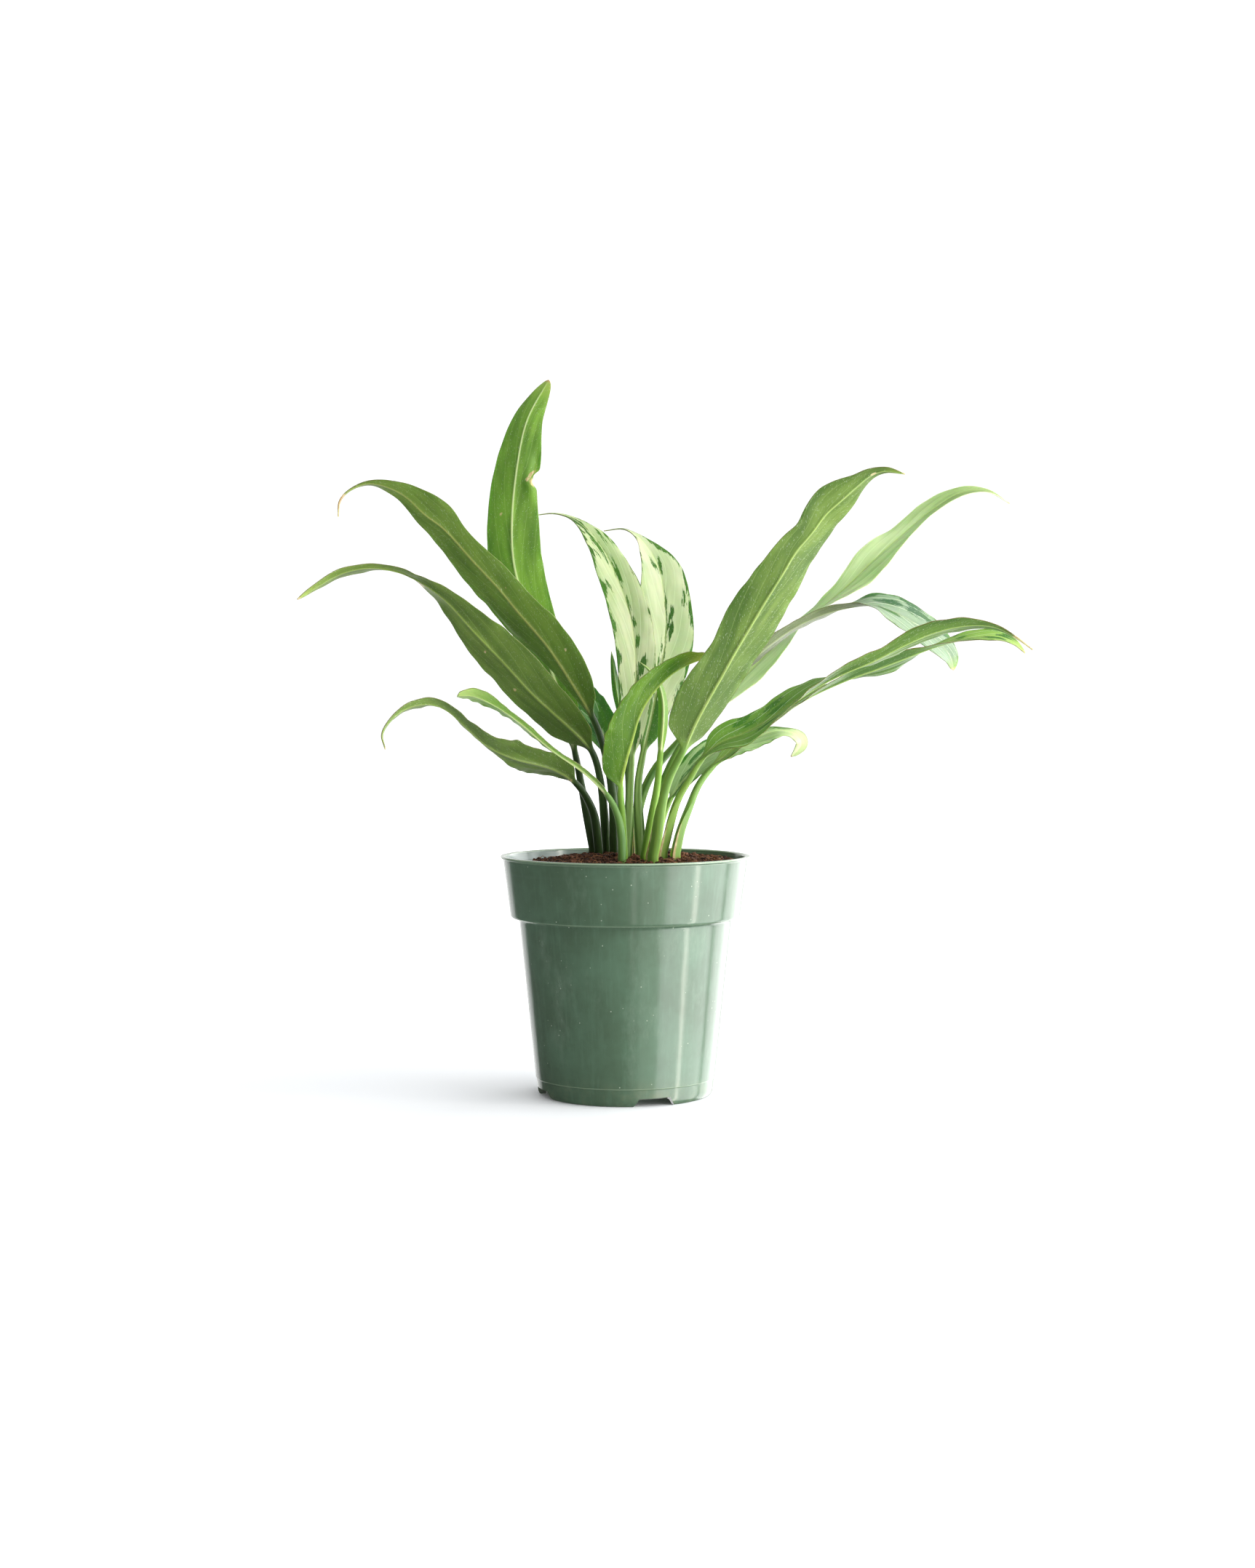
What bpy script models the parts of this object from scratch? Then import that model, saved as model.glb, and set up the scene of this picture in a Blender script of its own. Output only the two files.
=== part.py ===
"""A potted Chinese evergreen: a nursery pot, its potting mix and seventeen leaves.

Metres, +Z up, the front towards -Y. The origin is on the pot's axis, in the plane that the pot stands on.
Each leaf is one closed solid, a round stalk that flattens into a thin waved blade. It is a loft along the
leaf's midrib, because its sections change from round to folded and no modelling tool makes that.
"""

import math

import bmesh
import bpy
import numpy as np

MM = 0.001

# Pot, a 6 inch round nursery pot
POT_HEIGHT = 158 * MM
RIM_RADIUS = 82.5 * MM
LIP_DEPTH = 1.6 * MM
LIP_REACH = 1.8 * MM
BAND_BOTTOM_RADIUS = 76.2 * MM
BAND_HEIGHT = 41 * MM
BODY_TOP_RADIUS = 70.4 * MM
BODY_BOTTOM_RADIUS = 59.4 * MM
FOOT_LINE_HEIGHT = 11.6 * MM
FOOT_RADIUS = 55.8 * MM
WALL = 1.7 * MM
FLOOR_UNDERSIDE = 3 * MM
FOOT_RING_WIDTH = 3 * MM
ROUND_STEPS = 48

# Drainage notches cut through the foot
NOTCH_COUNT = 4
NOTCH_FIRST_ANGLE = math.radians(-70.5)
NOTCH_FOOT_WIDTH = 28 * MM
NOTCH_TOP_WIDTH = 21 * MM
NOTCH_HEIGHT = 5.6 * MM
NOTCH_INNER_RADIUS = 47 * MM

# Potting mix
GAP = 0.3 * MM
MIX_MIDDLE = POT_HEIGHT - 2.2 * MM
MIX_EDGE_DROP = 5 * MM
MIX_LEFT_DROP = 5 * MM
MIX_FRONT_DROP = 4 * MM
MIX_RELIEF = 1.1 * MM
MIX_RINGS = 9
STALK_FOOT = POT_HEIGHT - 30 * MM
STALK_STRAIGHT_TOP = POT_HEIGHT + 1.5 * MM
HOLE_SIDES = 10
HOLE_CLEARANCE = 0.5 * MM

# Leaves
HALF_RING = 5
STALK_STATIONS = 6
BLADE_THICKNESS = 0.9 * MM
MIDRIB_DEPTH = 1.3 * MM
TIP_HALF_WIDTH = 0.5 * MM
SMOOTH_STEPS = 12

# Where the leaves' front view is seen from, in millimetres, with the height above the rim
FRONT_VIEW_POINT = (1.5, -1510, 100)


def leaf(foot, route, blade_from, half_width, lean=0, stalk=3.0, widest=0.42, fold=12, tip_fold=None,
         wave=1.6, waves=3.0, phase=0.0, tip_sharpness=1.15, stations=18):
    """One leaf's measurements. Lengths are millimetres and angles degrees.

    foot is where the stalk leaves the mix, seen from above. route lists the midrib's points above it as
    (x, y, height above the rim, turn). A turn of 0 has the blade flat to the front with its underside
    showing, -90 or 90 lays it level with its upper side up, and 180 shows the upper side. blade_from is
    the number of the route's point where the stalk ends and the blade begins. lean moves the tip back, or to
    the front where it is negative, with the front view kept. stalk is the stalk's radius.
    half_width is the blade's greatest, at the share widest of its length. Both halves rise by fold from the
    midrib, and by tip_fold at the tip. wave is the height of the margin's waves, waves their number and phase
    where they start. A lower tip_sharpness makes a blunter tip. stations is the number of the blade's rings.
    """
    tip_fold = fold if tip_fold is None else tip_fold
    return locals()


LEAVES = {
    "leaf_tall_left": leaf(
        foot=(-22, 48),
        route=[(-29, 46, 40, 30), (-34, 44, 66, 30), (-41, 42, 96, 25), (-54, 38, 134, 20), (-66, 34, 163, 16),
               (-74.5, 30, 193, 12), (-76, 27, 219, 10), (-72.5, 24, 257, 10), (-65.5, 22, 289, 12),
               (-51, 22, 316, 20)],
        blade_from=1, lean=50, half_width=19, widest=0.5, fold=10, wave=1.0, waves=2.0,
        tip_sharpness=0.55),
    "leaf_upper_left": leaf(
        foot=(-7.5, 36.5),
        route=[(-9, 36, 42, 35), (-14.5, 33, 70, 35), (-21.5, 28, 90, 35), (-38, 19, 118, 35),
               (-52, 13, 139, 35), (-70, 8, 160, 35), (-84, 3, 177, 35), (-100, -1, 194, 32),
               (-119, -4, 215, 30), (-131, -7, 224, 35), (-147, -10, 238, 45), (-167, -13, 244, 65),
               (-180, -15, 239, 75), (-186, -16, 232, 70), (-187, -16, 222, 60)],
        blade_from=2, half_width=17.5, widest=0.34, fold=12, wave=1.8, waves=3.2, phase=0.4),
    "leaf_lower_left": leaf(
        foot=(-12.5, 45),
        route=[(-17, 38, 49, 30), (-22, 34, 67, 30), (-30, 29, 77, 30), (-48, 20, 94, 30), (-62, 14, 107, 30),
               (-81, 8, 128, 32), (-100, 3, 148, 38), (-119, -2, 169, 58), (-134, -6, 180, 74),
               (-141, -8, 183.5, 85), (-147, -10, 186, 80), (-166, -14, 189, 68), (-185, -17, 185, 68),
               (-201, -20, 176, 66), (-213, -22, 168, 60)],
        blade_from=1, lean=-50, half_width=18.5, widest=0.36, fold=12, wave=1.4, waves=3.0, phase=0.1),
    "leaf_torn_left": leaf(
        foot=(-2, -29),
        route=[(-2.5, -28, 14, 40), (-5, -28, 28, 45), (-11, -29, 40, 55), (-22, -30, 52, 60),
               (-32, -32, 60, 60), (-44, -34, 68, 60), (-54, -35, 76, 58), (-68, -36, 88, 55),
               (-84, -37, 99, 55), (-98, -38, 105, 55), (-108, -38, 105.5, 60)],
        blade_from=2, lean=-25, half_width=9, stalk=2.7, widest=0.6, fold=20, wave=1.2, waves=3.0,
        phase=0.3, tip_sharpness=0.6, stations=14),
    "leaf_drooping_left": leaf(
        foot=(-18, 36),
        route=[(-21, 31, 25, 45), (-26, 26, 37, 45), (-33, 18, 47, 45), (-45, 8, 55.5, 42), (-57, -4, 60, 40),
               (-73, -14, 64.5, 45), (-89, -22, 72.5, 65), (-101, -28, 83, 60), (-115, -33, 96, 70),
               (-126, -37, 100, 66), (-141, -40, 97, 66), (-151, -42, 89, 66), (-156, -43, 80, 66),
               (-154, -43, 71, 60)],
        blade_from=2, lean=-45, half_width=12, widest=0.3, fold=15, wave=2.0, waves=3.0, phase=0.6),
    "leaf_young_front": leaf(
        foot=(-1, -17),
        route=[(-2, -24, 28, -40), (-3, -28, 45, -45), (-1, -30, 57, -50), (2.5, -32, 70, -53),
               (5.5, -33, 80, -55), (8, -34, 89, -57), (12, -35, 98, -58), (17, -35, 106, -60),
               (23, -34, 113, -64), (31, -31, 120, -72), (44, -24, 127, -90), (58, -14, 131, -105)],
        blade_from=1, half_width=17, stalk=2.7, widest=0.32, fold=35, wave=0.5, waves=2.0, stations=16),
    "leaf_rolled_young": leaf(
        foot=(12.5, -16),
        route=[(17.6, -18, 28, 0), (21, -18, 47, 0), (23, -18, 68, 0), (24.7, -18, 88, 0), (24.7, -18, 101, 0),
               (22, -18, 113, 0), (16, -16, 122, 0), (9, -12, 128, 0)],
        blade_from=2, half_width=7, stalk=2.7, widest=0.4, fold=62, wave=0.0, waves=1.0, stations=12),
    "leaf_large_right": leaf(
        foot=(18.4, -30),
        route=[(21, -31, 14, -25), (23.5, -32, 33, -25), (28, -33, 51, -25), (37, -35, 69, -25),
               (45, -37, 87, -25), (53, -38, 102, -25), (61, -39, 116, -25), (71, -40, 134, -22),
               (80.5, -41, 150, -22), (90, -42, 166, -24), (100, -43, 182, -26), (109, -44, 197, -30),
               (119, -44, 209, -35), (128, -45, 221, -35), (138, -45, 230, -38), (148, -45, 239, -45),
               (157, -45, 246, -55), (167, -44, 249, -60), (179, -43, 247, -60)],
        blade_from=3, lean=-30, half_width=18.5, stalk=3.2, widest=0.36, fold=10, wave=1.2, waves=2.4,
        phase=0.2, stations=20),
    "leaf_shaded_left": leaf(
        foot=(-4, 56),
        route=[(-7, 54, 32, 150), (-10, 52, 64, 150), (-22, 56, 91, 150), (-40, 63, 111, 150),
               (-57, 70, 125, 145), (-80, 78, 134, 130)],
        blade_from=1, lean=25, half_width=15, widest=0.4, fold=10, wave=1.2, waves=2.0, stations=12),
    "leaf_variegated_left": leaf(
        foot=(1, 4),
        route=[(2, 6, 20, 180), (3, 8, 44, 180), (4, 12, 63, 180), (5.5, 20, 89, 180), (7, 30, 116, 180),
               (6.5, 40, 137, 178), (4.5, 50, 154, 175), (0.5, 60, 170, 172), (-7, 66, 189, 168),
               (-15, 72, 206, 160), (-26, 76, 220, 150), (-38, 79, 229, 130), (-50, 80, 232, 110),
               (-61, 80, 231, 100)],
        blade_from=2, lean=35, half_width=14.5, widest=0.42, fold=10, wave=0.8, waves=2.0),
    "leaf_variegated_right": leaf(
        foot=(10, 12),
        route=[(8.5, 16, 45, 180), (12, 24, 67, 180), (17, 34, 89, 180), (21.5, 46, 111, 182),
               (25.5, 58, 131, 184), (28, 68, 149, 184), (27.5, 77, 166, 182), (26, 85, 182, 178),
               (23, 91, 196, 170), (16, 96, 209, 150), (8, 100, 218, 130), (-1.5, 103, 223, 110),
               (-15, 106, 222, 100)],
        blade_from=1, lean=30, half_width=18, widest=0.5, fold=8, wave=0.9, waves=2.0, phase=0.5),
    "leaf_spear_back": leaf(
        foot=(1, 43),
        route=[(2, 44, 47, 0), (-2, 46, 87, 0), (-6, 47, 109, 0), (-9.5, 48, 135.8, 0)],
        blade_from=1, half_width=4.5, stalk=2.2, widest=0.5, fold=50, wave=0.0, waves=1.0, stations=8),
    "leaf_upper_right": leaf(
        foot=(6, 24),
        route=[(10, 26, 33, -140), (18.6, 30, 54, -140), (32, 38, 70, -140), (48, 46, 86, -140),
               (75, 56, 111, -140), (93, 62, 130, -135), (111, 67, 146.5, -120), (125, 71, 158, -100),
               (141, 73, 170.5, -112), (158, 75, 185.5, -138), (174, 76, 199, -142),
               (191.5, 77, 213.5, -140), (212, 78, 231.5, -135), (233, 79, 246, -125), (251, 80, 247, -115),
               (266.5, 80, 239, -110)],
        blade_from=3, lean=40, half_width=13, widest=0.55, fold=12, wave=1.6, waves=3.0, phase=0.2,
        stations=20),
    "leaf_twisted_right": leaf(
        foot=(16, 26),
        route=[(22, 26, 36, -50), (32, 27, 62, -50), (49, 29, 89, -55), (71.5, 32, 117, -60),
               (96, 36, 139, -70), (114, 39, 151.5, -73), (133, 41, 160.5, -78), (151, 42, 165.5, -90),
               (168, 43, 167, -112), (182, 43, 162.5, -133), (194, 44, 156, -142), (205, 44, 148, -145),
               (214, 44, 140.5, -145), (221, 44, 132, -145), (223, 44, 123, -145)],
        blade_from=2, lean=30, half_width=14, widest=0.64, fold=10, wave=1.4, waves=3.0, phase=0.7,
        tip_sharpness=0.75, stations=20),
    "leaf_long_right": leaf(
        foot=(25, -3),
        route=[(34, -4, 36, -90), (42.5, -5, 51, -100), (49, -6, 62, -115), (62.5, -7, 74, -135),
               (78.5, -8, 80.5, -137), (94.5, -8, 89.5, -122), (108.5, -8, 99.5, -115),
               (124.5, -8, 110.5, -98), (142, -8, 119.5, -75), (162.5, -8, 128, -60), (183, -8, 138.5, -57),
               (203, -8, 147, -57), (224, -8, 151.5, -58), (243, -7, 150.5, -60), (257, -6, 143.5, -62),
               (268, -5, 135.7, -62)],
        blade_from=2, lean=-20, half_width=14.5, widest=0.28, fold=24, tip_fold=8, wave=1.6, waves=3.2,
        phase=0.3, stations=20),
    "leaf_long_low_right": leaf(
        foot=(33.5, -6),
        route=[(37, -4, 18, -100), (42, 1, 31, -105), (48.5, 7, 46, -112), (57, 12, 57, -120),
               (68, 16, 66, -125), (81, 18, 76, -120), (98, 20, 87.5, -110), (112, 20, 98, -104),
               (126, 20, 106.3, -95), (151.5, 20, 117.5, -72), (168.5, 20, 123.3, -54),
               (184, 20, 129.3, -52), (209.5, 20, 138.9, -65), (235.5, 20, 144.7, -95),
               (249.5, 20, 145.5, -110), (260, 20, 141, -112), (267.5, 20, 134, -112)],
        blade_from=3, lean=10, half_width=10.5, widest=0.42, fold=14, wave=1.4, waves=2.6, phase=0.8,
        stations=20),
    "leaf_short_right": leaf(
        foot=(20, 12),
        route=[(24, 12, 21, -125), (30, 14, 36, -130), (41, 19, 51, -135), (55.5, 25, 64.5, -135),
               (73, 31, 73.5, -130), (90, 34, 78, -125), (104.5, 35, 82, -115), (114.5, 35, 79.5, -105),
               (119, 35, 74, -95), (116, 35, 68, -85), (112, 35, 64.5, -80)],
        blade_from=1, lean=20, half_width=11, stalk=2.6, widest=0.36, fold=12, wave=1.2, waves=2.0,
        tip_sharpness=0.9, stations=16),
}


def clear_scene():
    for obj in list(bpy.data.objects):
        bpy.data.objects.remove(obj, do_unlink=True)


def add_collection(name):
    collection = bpy.data.collections.new(name)
    bpy.context.scene.collection.children.link(collection)
    return collection


def add_material(obj, colour, roughness):
    material = bpy.data.materials.new(obj.name)
    material.use_nodes = True
    shader = material.node_tree.nodes["Principled BSDF"]
    shader.inputs["Base Color"].default_value = (*colour, 1)
    shader.inputs["Roughness"].default_value = roughness
    shader.inputs["Metallic"].default_value = 0
    obj.data.materials.append(material)


def add_object(name, mesh, collection):
    obj = bpy.data.objects.new(name, mesh)
    collection.objects.link(obj)
    return obj


def hide_helper(obj):
    obj.hide_render = True
    obj.display_type = "WIRE"


def turned(name, profile, steps, collection):
    """A closed solid turned round Z from (radius, height) points whose two ends lie on the axis."""
    mesh = bpy.data.meshes.new(name)
    points = [(radius, 0, height) for radius, height in profile]
    mesh.from_pydata(points, [(i, i + 1) for i in range(len(points) - 1)], [])
    obj = add_object(name, mesh, collection)
    screw = obj.modifiers.new("Turn", "SCREW")
    screw.axis = "Z"
    screw.steps = steps
    screw.render_steps = steps
    screw.use_merge_vertices = True
    screw.merge_threshold = 1e-5
    return obj


def applied(obj):
    """The object with its modifiers applied to its mesh."""
    graph = bpy.context.evaluated_depsgraph_get()
    mesh = bpy.data.meshes.new_from_object(obj.evaluated_get(graph))
    obj.modifiers.clear()
    obj.data = mesh
    return obj


def cut(obj, cutter):
    boolean = obj.modifiers.new("Cut", "BOOLEAN")
    boolean.operation = "DIFFERENCE"
    boolean.solver = "EXACT"
    boolean.object = cutter


def wall_radius(height):
    """Outer radius of the pot's body below the band."""
    share = (height - FOOT_LINE_HEIGHT) / (POT_HEIGHT - BAND_HEIGHT - FOOT_LINE_HEIGHT)
    return BODY_BOTTOM_RADIUS + share * (BODY_TOP_RADIUS - BODY_BOTTOM_RADIUS)


def pot_profile():
    """Inside floor, up the inner wall, over the lip, down the outside, and back under the raised floor."""
    band_bottom = POT_HEIGHT - BAND_HEIGHT
    band_top_radius = RIM_RADIUS - LIP_REACH
    floor_top = FLOOR_UNDERSIDE + WALL
    corner = 4.5 * MM
    inside = [
        (0, floor_top),
        (BODY_BOTTOM_RADIUS - WALL - corner, floor_top),
        (wall_radius(FOOT_LINE_HEIGHT) - WALL, FOOT_LINE_HEIGHT),
        (wall_radius(band_bottom - WALL) - WALL, band_bottom + WALL * 0.6),
        (BAND_BOTTOM_RADIUS - WALL - 1 * MM, band_bottom + WALL * 1.2),
        (BAND_BOTTOM_RADIUS - WALL, band_bottom + WALL * 2),
        (band_top_radius - WALL, POT_HEIGHT - LIP_DEPTH),
        (band_top_radius - WALL * 0.7, POT_HEIGHT),
    ]
    outside = [
        (RIM_RADIUS - 0.5 * MM, POT_HEIGHT),
        (RIM_RADIUS, POT_HEIGHT - 0.5 * LIP_DEPTH),
        (RIM_RADIUS - 0.4 * MM, POT_HEIGHT - LIP_DEPTH),
        (band_top_radius, POT_HEIGHT - LIP_DEPTH - 1 * MM),
        (BAND_BOTTOM_RADIUS, band_bottom + 2.4 * MM),
        (BAND_BOTTOM_RADIUS - 0.8 * MM, band_bottom + 0.7 * MM),
        (BAND_BOTTOM_RADIUS - 2.4 * MM, band_bottom),
        (BODY_TOP_RADIUS + 0.8 * MM, band_bottom - 0.6 * MM),
        (BODY_TOP_RADIUS, band_bottom - 2.2 * MM),
        (BODY_BOTTOM_RADIUS, FOOT_LINE_HEIGHT),
        (BODY_BOTTOM_RADIUS - 0.4 * MM, FOOT_LINE_HEIGHT - 0.6 * MM),
        (BODY_BOTTOM_RADIUS - 1.0 * MM, 4.5 * MM),
        (FOOT_RADIUS + 1.6 * MM, 1.4 * MM),
        (FOOT_RADIUS, 0),
    ]
    underside = [
        (FOOT_RADIUS - FOOT_RING_WIDTH, 0),
        (FOOT_RADIUS - FOOT_RING_WIDTH - 0.6 * MM, FLOOR_UNDERSIDE),
        (0, FLOOR_UNDERSIDE),
    ]
    return inside + outside + underside


def notch_cutter(collection):
    """Four tapering blocks, which cut the drainage notches through the foot."""
    mesh = bpy.data.meshes.new("notch_cutter")
    solid = bmesh.new()
    low = -2 * MM
    reach = RIM_RADIUS - NOTCH_INNER_RADIUS
    for i in range(NOTCH_COUNT):
        block = bmesh.ops.create_cube(solid, size=1)["verts"]
        for vert in block:
            top = vert.co.z > 0
            width = NOTCH_TOP_WIDTH if top else NOTCH_FOOT_WIDTH + (NOTCH_FOOT_WIDTH - NOTCH_TOP_WIDTH) * 0.3
            along = NOTCH_INNER_RADIUS + (vert.co.x + 0.5) * reach
            across = vert.co.y * width
            angle = NOTCH_FIRST_ANGLE + i * math.tau / NOTCH_COUNT
            vert.co.x = along * math.cos(angle) - across * math.sin(angle)
            vert.co.y = along * math.sin(angle) + across * math.cos(angle)
            vert.co.z = NOTCH_HEIGHT if top else low
    bmesh.ops.recalc_face_normals(solid, faces=solid.faces)
    solid.to_mesh(mesh)
    solid.free()
    cutter = add_object("notch_cutter", mesh, collection)
    hide_helper(cutter)
    return cutter


def make_pot(collection, cutters):
    pot = applied(turned("pot", pot_profile(), ROUND_STEPS, collection))
    cut(pot, notch_cutter(cutters))
    applied(pot)
    pot.data.shade_smooth()
    pot.data.set_sharp_from_angle(angle=math.radians(35))
    add_material(pot, (0.06, 0.14, 0.09), 0.3)


def mix_height(x, y):
    """Top of the potting mix: a low mound that falls to the left, the front and the wall, with crumbs."""
    radius = math.hypot(x, y) / RIM_RADIUS
    slope = MIX_EDGE_DROP * radius ** 4
    left = MIX_LEFT_DROP * max(0.0, -x / RIM_RADIUS) ** 2
    front = MIX_FRONT_DROP * max(0.0, -y / RIM_RADIUS)
    crumbs = math.sin(x / (5.3 * MM)) * math.cos(y / (4.1 * MM) + 0.7)
    crumbs += 0.6 * math.sin((x + 2 * y) / (3.7 * MM))
    return MIX_MIDDLE - slope - left - front + MIX_RELIEF * 0.6 * crumbs


def inner_radius(height):
    """Inner radius of the pot at a height above the step."""
    low = POT_HEIGHT - BAND_HEIGHT + 2 * WALL
    share = (height - low) / (POT_HEIGHT - LIP_DEPTH - low)
    top = RIM_RADIUS - LIP_REACH - WALL
    bottom = BAND_BOTTOM_RADIUS - WALL
    return bottom + share * (top - bottom)


def hole_cutter(collection):
    """A straight cylinder for each stalk's hole in the potting mix."""
    mesh = bpy.data.meshes.new("hole_cutter")
    solid = bmesh.new()
    low = STALK_FOOT - GAP
    high = POT_HEIGHT + 12 * MM
    for each in LEAVES.values():
        radius = (each["stalk"] * MM + HOLE_CLEARANCE) / math.cos(math.pi / HOLE_SIDES)
        made = bmesh.ops.create_cone(
            solid, cap_ends=True, segments=HOLE_SIDES, radius1=radius, radius2=radius, depth=high - low)
        shift = (each["foot"][0] * MM, each["foot"][1] * MM, (high + low) / 2)
        bmesh.ops.translate(solid, verts=made["verts"], vec=shift)
    solid.to_mesh(mesh)
    solid.free()
    cutter = add_object("hole_cutter", mesh, collection)
    hide_helper(cutter)
    return cutter


def make_mix(collection, cutters):
    """The potting mix fills the pot to just under its rim, 0.3 mm clear of the wall."""
    floor = FLOOR_UNDERSIDE + WALL + GAP
    band_bottom = POT_HEIGHT - BAND_HEIGHT
    top_radius = inner_radius(POT_HEIGHT - 8 * MM) - GAP
    profile = [(top_radius * i / MIX_RINGS, POT_HEIGHT) for i in range(MIX_RINGS + 1)]
    profile += [
        (BAND_BOTTOM_RADIUS - WALL - GAP, band_bottom + WALL * 2.4),
        (wall_radius(band_bottom) - WALL - 2 * GAP, band_bottom + WALL * 1.4),
        (wall_radius(FOOT_LINE_HEIGHT) - WALL - GAP, FOOT_LINE_HEIGHT + GAP),
        (BODY_BOTTOM_RADIUS - WALL - 5.2 * MM, floor),
        (0, floor),
    ]
    mix = applied(turned("potting_mix", profile, ROUND_STEPS, collection))
    edge = top_radius * (1 - 0.5 / MIX_RINGS)
    for vert in mix.data.vertices:
        if vert.co.z > POT_HEIGHT - MM:
            vert.co.z = mix_height(vert.co.x, vert.co.y)
            if math.hypot(vert.co.x, vert.co.y) > edge:
                vert.co.xy *= (inner_radius(vert.co.z) - GAP) / top_radius
    cut(mix, hole_cutter(cutters))
    applied(mix)
    add_material(mix, (0.08, 0.035, 0.02), 0.95)


def smooth_route(points):
    """Points read from a centripetal Catmull-Rom curve through the given rows, ends included."""
    points = np.vstack([2 * points[0] - points[1], points, 2 * points[-1] - points[-2]])
    spans = np.linalg.norm(np.diff(points[:, :3], axis=0), axis=1) ** 0.5
    knots = np.concatenate([[0], np.cumsum(spans)])
    rows = []
    for i in range(1, len(points) - 2):
        t0, t1, t2, t3 = knots[i - 1:i + 3]
        p0, p1, p2, p3 = points[i - 1:i + 3]
        t = np.linspace(t1, t2, SMOOTH_STEPS, endpoint=False)[:, None]
        a1 = (t1 - t) / (t1 - t0) * p0 + (t - t0) / (t1 - t0) * p1
        a2 = (t2 - t) / (t2 - t1) * p1 + (t - t1) / (t2 - t1) * p2
        a3 = (t3 - t) / (t3 - t2) * p2 + (t - t2) / (t3 - t2) * p3
        b1 = (t2 - t) / (t2 - t0) * a1 + (t - t0) / (t2 - t0) * a2
        b2 = (t3 - t) / (t3 - t1) * a2 + (t - t1) / (t3 - t1) * a3
        rows.append((t2 - t) / (t2 - t1) * b1 + (t - t1) / (t2 - t1) * b2)
    rows.append(points[-2:-1])
    return np.vstack(rows)


def leaned(rows, lean):
    """The route with each point moved along its line of sight from the front, by lean at the tip."""
    length = np.concatenate([[0], np.cumsum(np.linalg.norm(np.diff(rows[:, :3], axis=0), axis=1))])
    view = np.array(FRONT_VIEW_POINT)
    sight = rows[:, :3] - view
    farther = 1 + lean * (length / length[-1]) ** 2 / sight[:, 1]
    return np.column_stack([view + sight * farther[:, None], rows[:, 3]])


def leaf_rings(spec):
    """The leaf's cross-sections as an array of stations by ring points by three."""
    foot_x, foot_y = spec["foot"]
    first_turn = spec["route"][0][3]
    start = (foot_x, foot_y, (STALK_STRAIGHT_TOP - POT_HEIGHT) / MM, first_turn)
    rows = leaned(smooth_route(np.array([start, *spec["route"]], float)), spec["lean"])
    rows[:, :3] *= MM
    rows[:, 2] += POT_HEIGHT
    length = np.concatenate([[0], np.cumsum(np.linalg.norm(np.diff(rows[:, :3], axis=0), axis=1))])
    blade_start = length[SMOOTH_STEPS * (spec["blade_from"] + 1)]
    stalk_at = np.linspace(0, blade_start, STALK_STATIONS, endpoint=False)
    share = np.linspace(0, 1, spec["stations"])
    share = share - 0.06 * np.sin(math.tau * share)
    at = np.concatenate([stalk_at, blade_start + share * (length[-1] - blade_start)])
    path = np.stack([np.interp(at, length, rows[:, k]) for k in range(4)], axis=1)

    ahead = np.gradient(path[:, :3], at, axis=0)
    ahead[0] = (0, 0, 1)
    ahead /= np.linalg.norm(ahead, axis=1)[:, None]
    left = np.cross(ahead, (0, 1, 0))
    left /= np.linalg.norm(left, axis=1)[:, None]
    away = np.cross(left, ahead)
    turn = np.radians(path[:, 3])[:, None]
    across = left * np.cos(turn) + away * np.sin(turn)
    upper = away * np.cos(turn) - left * np.sin(turn)

    t = np.concatenate([np.zeros(STALK_STATIONS), share])
    half = spec["half_width"] * MM
    crest = np.sin(np.pi * t ** (math.log(0.5) / math.log(spec["widest"])))
    power = 0.62 + (spec["tip_sharpness"] - 0.62) * t
    width = np.maximum(half * np.clip(crest, 0, 1) ** power, TIP_HALF_WIDTH)
    stalk = spec["stalk"] * MM
    along = at / blade_start
    stalk_radius = stalk * np.interp(along, [0, 0.35, 0.6, 1, 1.25], [1, 1, 0.88, 0.72, 0.3])
    flat = np.clip(t / 0.09, 0, 1)
    flat = flat * flat * (3 - 2 * flat)

    angle = np.radians(np.linspace(162, 18, HALF_RING))
    v = np.linspace(-1, 1, HALF_RING)
    fold = np.radians(spec["fold"] + (spec["tip_fold"] - spec["fold"]) * t)[:, None]
    side_phase = np.where(v > 0, 0.0, 0.37)
    ripple = np.sin(math.tau * (spec["waves"] * t[:, None] + spec["phase"] + side_phase))
    ripple = ripple * spec["wave"] * MM * (width / half)[:, None] * v ** 2
    blade_x = width[:, None] * v * np.cos(fold)
    blade_h = width[:, None] * np.abs(v) * np.sin(fold) + ripple
    rib = MIDRIB_DEPTH * (1 - t)[:, None] * (v == 0)
    sides = []
    for sign in (1, -1):
        round_x = stalk_radius[:, None] * np.cos(angle)
        round_h = sign * stalk_radius[:, None] * np.sin(angle)
        skin = sign * BLADE_THICKNESS / 2 - (rib if sign < 0 else 0)
        x = round_x + (blade_x - round_x) * flat[:, None]
        h = round_h + (blade_h + skin - round_h) * flat[:, None]
        side = path[:, None, :3] + across[:, None] * x[..., None] + upper[:, None] * h[..., None]
        sides.append(side if sign > 0 else side[:, ::-1])
    rings = np.concatenate(sides, axis=1)
    bottom = rings[:1] - (0, 0, STALK_STRAIGHT_TOP - STALK_FOOT)
    return np.concatenate([bottom, rings])


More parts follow.
